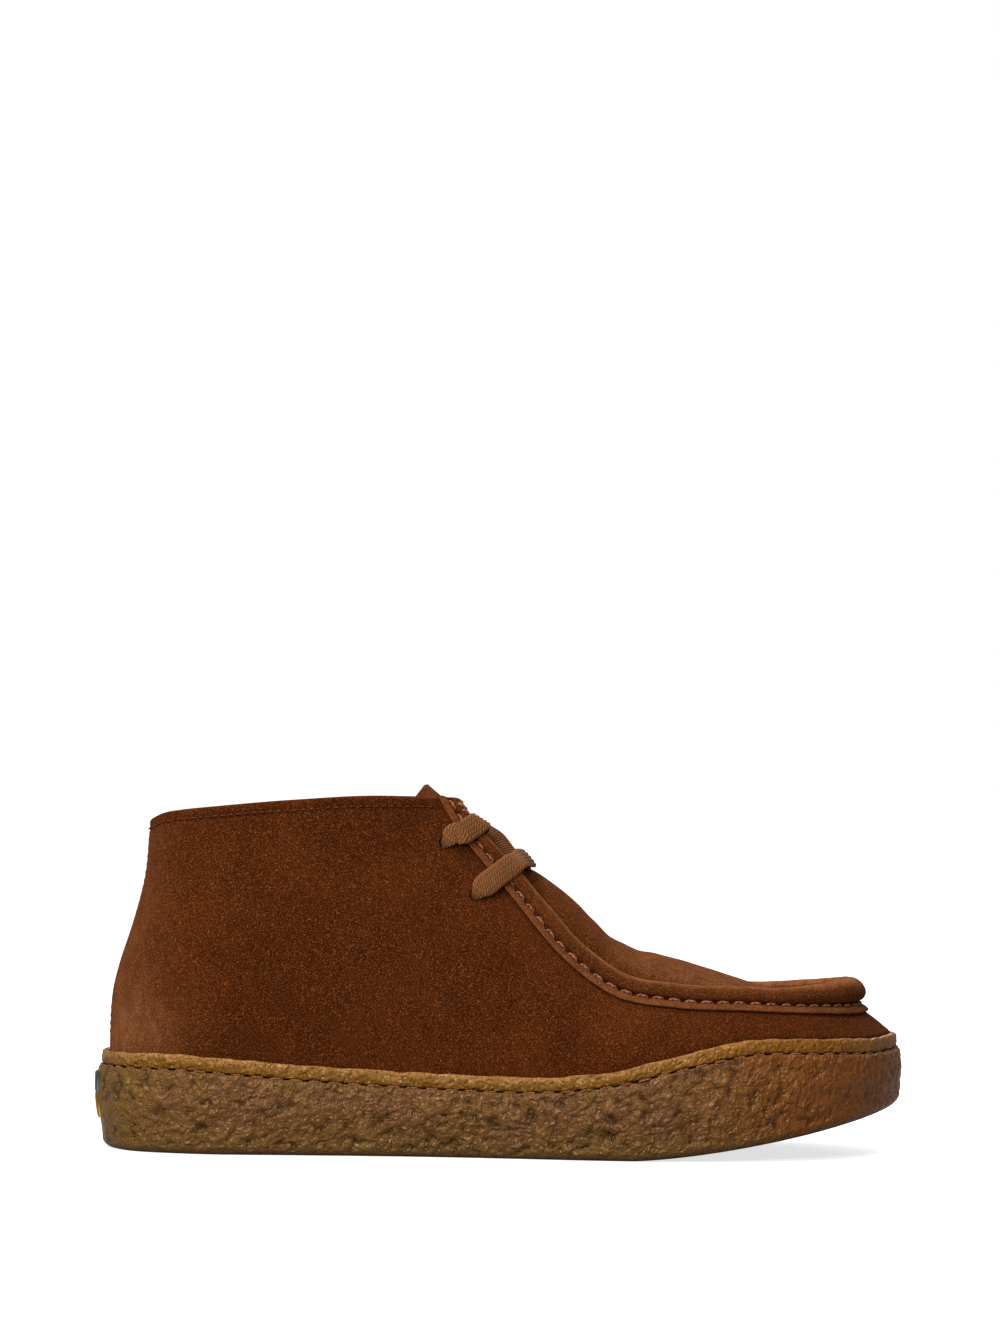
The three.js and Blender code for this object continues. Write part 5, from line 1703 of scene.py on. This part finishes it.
def make_world(props):
    """Even pale surroundings."""
    world = bpy.data.worlds.new("studio")
    world.use_nodes = True
    nodes = world.node_tree.nodes
    links = world.node_tree.links
    background = nodes["Background"]
    background.inputs["Color"].default_value = (1, 1, 1, 1)
    seen = nodes.new("ShaderNodeLightPath").outputs["Is Camera Ray"]
    strength = nodes.new("ShaderNodeMapRange")
    links.new(seen, strength.inputs["Value"])
    strength.inputs["To Min"].default_value = props.sky
    strength.inputs["To Max"].default_value = 1.0
    links.new(strength.outputs["Result"], background.inputs["Strength"])
    bpy.context.scene.world = world
    return world


# Properties


def length(name, description, default, low, high):
    """A length in metres."""
    return FloatProperty(
        name=name, description=description, default=default, min=low, max=high, precision=5, unit="LENGTH"
    )


def colour(name, description, red, green, blue):
    """A colour given as it shows on screen."""
    return FloatVectorProperty(
        name=name, description=description, default=linear(red, green, blue), min=0, max=1, subtype="COLOR"
    )


class SoleSettings(bpy.types.PropertyGroup):
    """Sizes and colours of the sole and its band."""

    crepe_depth: length("Crepe depth", "Height of the lumps from their mean", 1.25 * MM, 0, 2 * MM)
    sole_pitch: length("Stitch pitch", "Distance from one sole stitch to the next", 7.1 * MM, 3 * MM, 15 * MM)
    crepe_colour: colour("Crepe", "Colour of the sole's side", 118, 80, 38)
    band_colour: colour("Band", "Colour of the band's lower half", 132, 88, 26)


class UpperSettings(bpy.types.PropertyGroup):
    """Sizes and colours of the upper, apron and raised seam."""

    collar_hem: length("Collar hem", "Stitch row below the collar's edge", 3.5 * MM, 2 * MM, 8 * MM)
    collar_pitch: length("Collar pitch", "Distance between collar stitches", 3.0 * MM, 1.5 * MM, 6 * MM)
    seam_pitch: length("Seam pitch", "Distance between stitches of the raised seam", 5.9 * MM, 3 * MM, 12 * MM)
    suede_colour: colour("Suede", "Colour of the wall", 75, 33, 9)
    apron_colour: colour("Apron", "Colour of the apron and tongue", 80, 41, 15)
    seam_colour: colour("Seam", "Colour of the raised seam", 88, 45, 18)
    lining_colour: colour("Lining", "Colour of the lining leather", 158, 112, 78)


class LaceSettings(bpy.types.PropertyGroup):
    """Sizes and colour of the laces."""

    width: length("Width", "Width of the flat lace", 8.2 * MM, 4 * MM, 12 * MM)
    thickness: length("Thickness", "Thickness of the flat lace", 1.5 * MM, 0.6 * MM, 3 * MM)
    ribs: IntProperty(name="Ribs", description="Ribs across the lace", default=5, min=2, max=12)
    colour: colour("Lace", "Colour of the lace", 166, 104, 56)


class StageSettings(bpy.types.PropertyGroup):
    """Floor, surroundings and lights."""

    floor_colour: colour("Floor", "Colour of the floor", 236, 236, 236)
    floor_glow: FloatProperty(name="Floor glow", description="Paleness of the floor by the boot", default=0.72, min=0)
    floor_bounce: FloatProperty(name="Bounce", description="Share of light the floor throws back", default=0.4, min=0)
    sky: FloatProperty(name="Sky", description="Strength of the surroundings", default=0.2, min=0)
    top_light: FloatProperty(name="Top light", description="Overhead light", default=9, min=0, unit="POWER")
    key_light: FloatProperty(name="Key light", description="Light from above the camera", default=16.5, min=0, unit="POWER")
    back_light: FloatProperty(name="Back light", description="Soft light from behind", default=6, min=0, unit="POWER")
    spark_light: FloatProperty(name="Spark light", description="Small light for glints", default=9, min=0, unit="POWER")


# Operators


class PieceOperator:
    """Common settings of the operators that make the boot's pieces."""

    bl_options = {"REGISTER", "UNDO"}


class BOOT_OT_sole(PieceOperator, bpy.types.Operator):
    """Make the crepe cup sole"""

    bl_idname = "boot.sole"
    bl_label = "Sole"

    def execute(self, context):
        make_sole(context.scene.boot_sole)
        return {"FINISHED"}


class BOOT_OT_band(PieceOperator, bpy.types.Operator):
    """Make the amber band and its stitches"""

    bl_idname = "boot.band"
    bl_label = "Band"

    def execute(self, context):
        make_band(context.scene.boot_sole)
        make_sole_stitches(context.scene.boot_sole)
        return {"FINISHED"}


class BOOT_OT_footbed(PieceOperator, bpy.types.Operator):
    """Make the leather footbed"""

    bl_idname = "boot.footbed"
    bl_label = "Footbed"

    def execute(self, context):
        make_footbed()
        return {"FINISHED"}


class BOOT_OT_upper(PieceOperator, bpy.types.Operator):
    """Make the upper's suede wall with its collar and heel stitches"""

    bl_idname = "boot.upper"
    bl_label = "Upper"

    def execute(self, context):
        make_upper(context.scene.boot_upper)
        make_collar_stitches(context.scene.boot_upper)
        make_back_stitches(context.scene.boot_upper)
        return {"FINISHED"}


class BOOT_OT_apron(PieceOperator, bpy.types.Operator):
    """Make the apron and tongue"""

    bl_idname = "boot.apron"
    bl_label = "Apron and tongue"

    def execute(self, context):
        make_apron(context.scene.boot_upper)
        return {"FINISHED"}


class BOOT_OT_ridge(PieceOperator, bpy.types.Operator):
    """Make the raised moccasin seam with its stitches and tacks"""

    bl_idname = "boot.ridge"
    bl_label = "Raised seam"

    def execute(self, context):
        make_ridge(context.scene.boot_upper)
        make_seam_stitches(context.scene.boot_upper)
        make_tacks(context.scene.boot_upper)
        return {"FINISHED"}


class BOOT_OT_lace(PieceOperator, bpy.types.Operator):
    """Make the laces"""

    bl_idname = "boot.lace"
    bl_label = "Laces"

    def execute(self, context):
        make_lace(context.scene.boot_lace)
        return {"FINISHED"}


class BOOT_OT_heel_tab(PieceOperator, bpy.types.Operator):
    """Make the bare tab on the heel's back"""

    bl_idname = "boot.heel_tab"
    bl_label = "Heel tab"

    def execute(self, context):
        make_heel_tab(context.scene.boot_sole)
        return {"FINISHED"}


class BOOT_OT_stage(PieceOperator, bpy.types.Operator):
    """Make the floor, the surroundings, the lights and the camera"""

    bl_idname = "boot.stage"
    bl_label = "Stage"

    def execute(self, context):
        props = context.scene.boot_stage
        make_camera()
        make_floor(props)
        make_world(props)
        make_light("top_light", (0.05, 0.1, 1.3), (0, 0, 0.05), (1.8, 1.4), props.top_light)
        make_light("key_light", (-0.75, -1.0, 1.45), (0, 0, 0.06), (0.5, 0.5), props.key_light)
        make_light("back_light", (0.5, 1.3, 0.9), (0, 0, 0.06), (1.2, 0.9), props.back_light)
        make_light("spark_light", (-0.55, -1.4, 0.62), (0, 0, 0.03), (0.12, 0.12), props.spark_light)
        context.scene.view_settings.view_transform = "Standard"
        return {"FINISHED"}


class BOOT_PT_panel(bpy.types.Panel):
    """Settings and pieces of the boot"""

    bl_label = "Ankle boot"
    bl_idname = "BOOT_PT_panel"
    bl_space_type = "VIEW_3D"
    bl_region_type = "UI"
    bl_category = "Boot"

    def draw(self, context):
        for name, _ in SETTINGS:
            box = self.layout.box()
            group = getattr(context.scene, name)
            for key in group.__annotations__:
                box.prop(group, key)
        column = self.layout.column()
        for operator in OPERATORS:
            column.operator(operator.bl_idname)


SETTINGS = (
    ("boot_sole", SoleSettings),
    ("boot_upper", UpperSettings),
    ("boot_lace", LaceSettings),
    ("boot_stage", StageSettings),
)
OPERATORS = (
    BOOT_OT_stage,
    BOOT_OT_sole,
    BOOT_OT_band,
    BOOT_OT_footbed,
    BOOT_OT_upper,
    BOOT_OT_apron,
    BOOT_OT_ridge,
    BOOT_OT_lace,
    BOOT_OT_heel_tab,
)


def register():
    """Registers the settings, the operators and the panel."""
    for name, group in SETTINGS:
        bpy.utils.register_class(group)
        setattr(bpy.types.Scene, name, PointerProperty(type=group))
    for cls in (*OPERATORS, BOOT_PT_panel):
        bpy.utils.register_class(cls)


def unregister():
    """Takes them away again."""
    for cls in (BOOT_PT_panel, *reversed(OPERATORS)):
        bpy.utils.unregister_class(cls)
    for name, group in reversed(SETTINGS):
        delattr(bpy.types.Scene, name)
        bpy.utils.unregister_class(group)


def main():
    """Makes the stage and every piece."""
    register()
    bpy.ops.boot.stage()
    bpy.ops.boot.sole()
    bpy.ops.boot.band()
    bpy.ops.boot.footbed()
    bpy.ops.boot.upper()
    bpy.ops.boot.apron()
    bpy.ops.boot.ridge()
    bpy.ops.boot.lace()
    bpy.ops.boot.heel_tab()


if __name__ == "__main__":
    main()
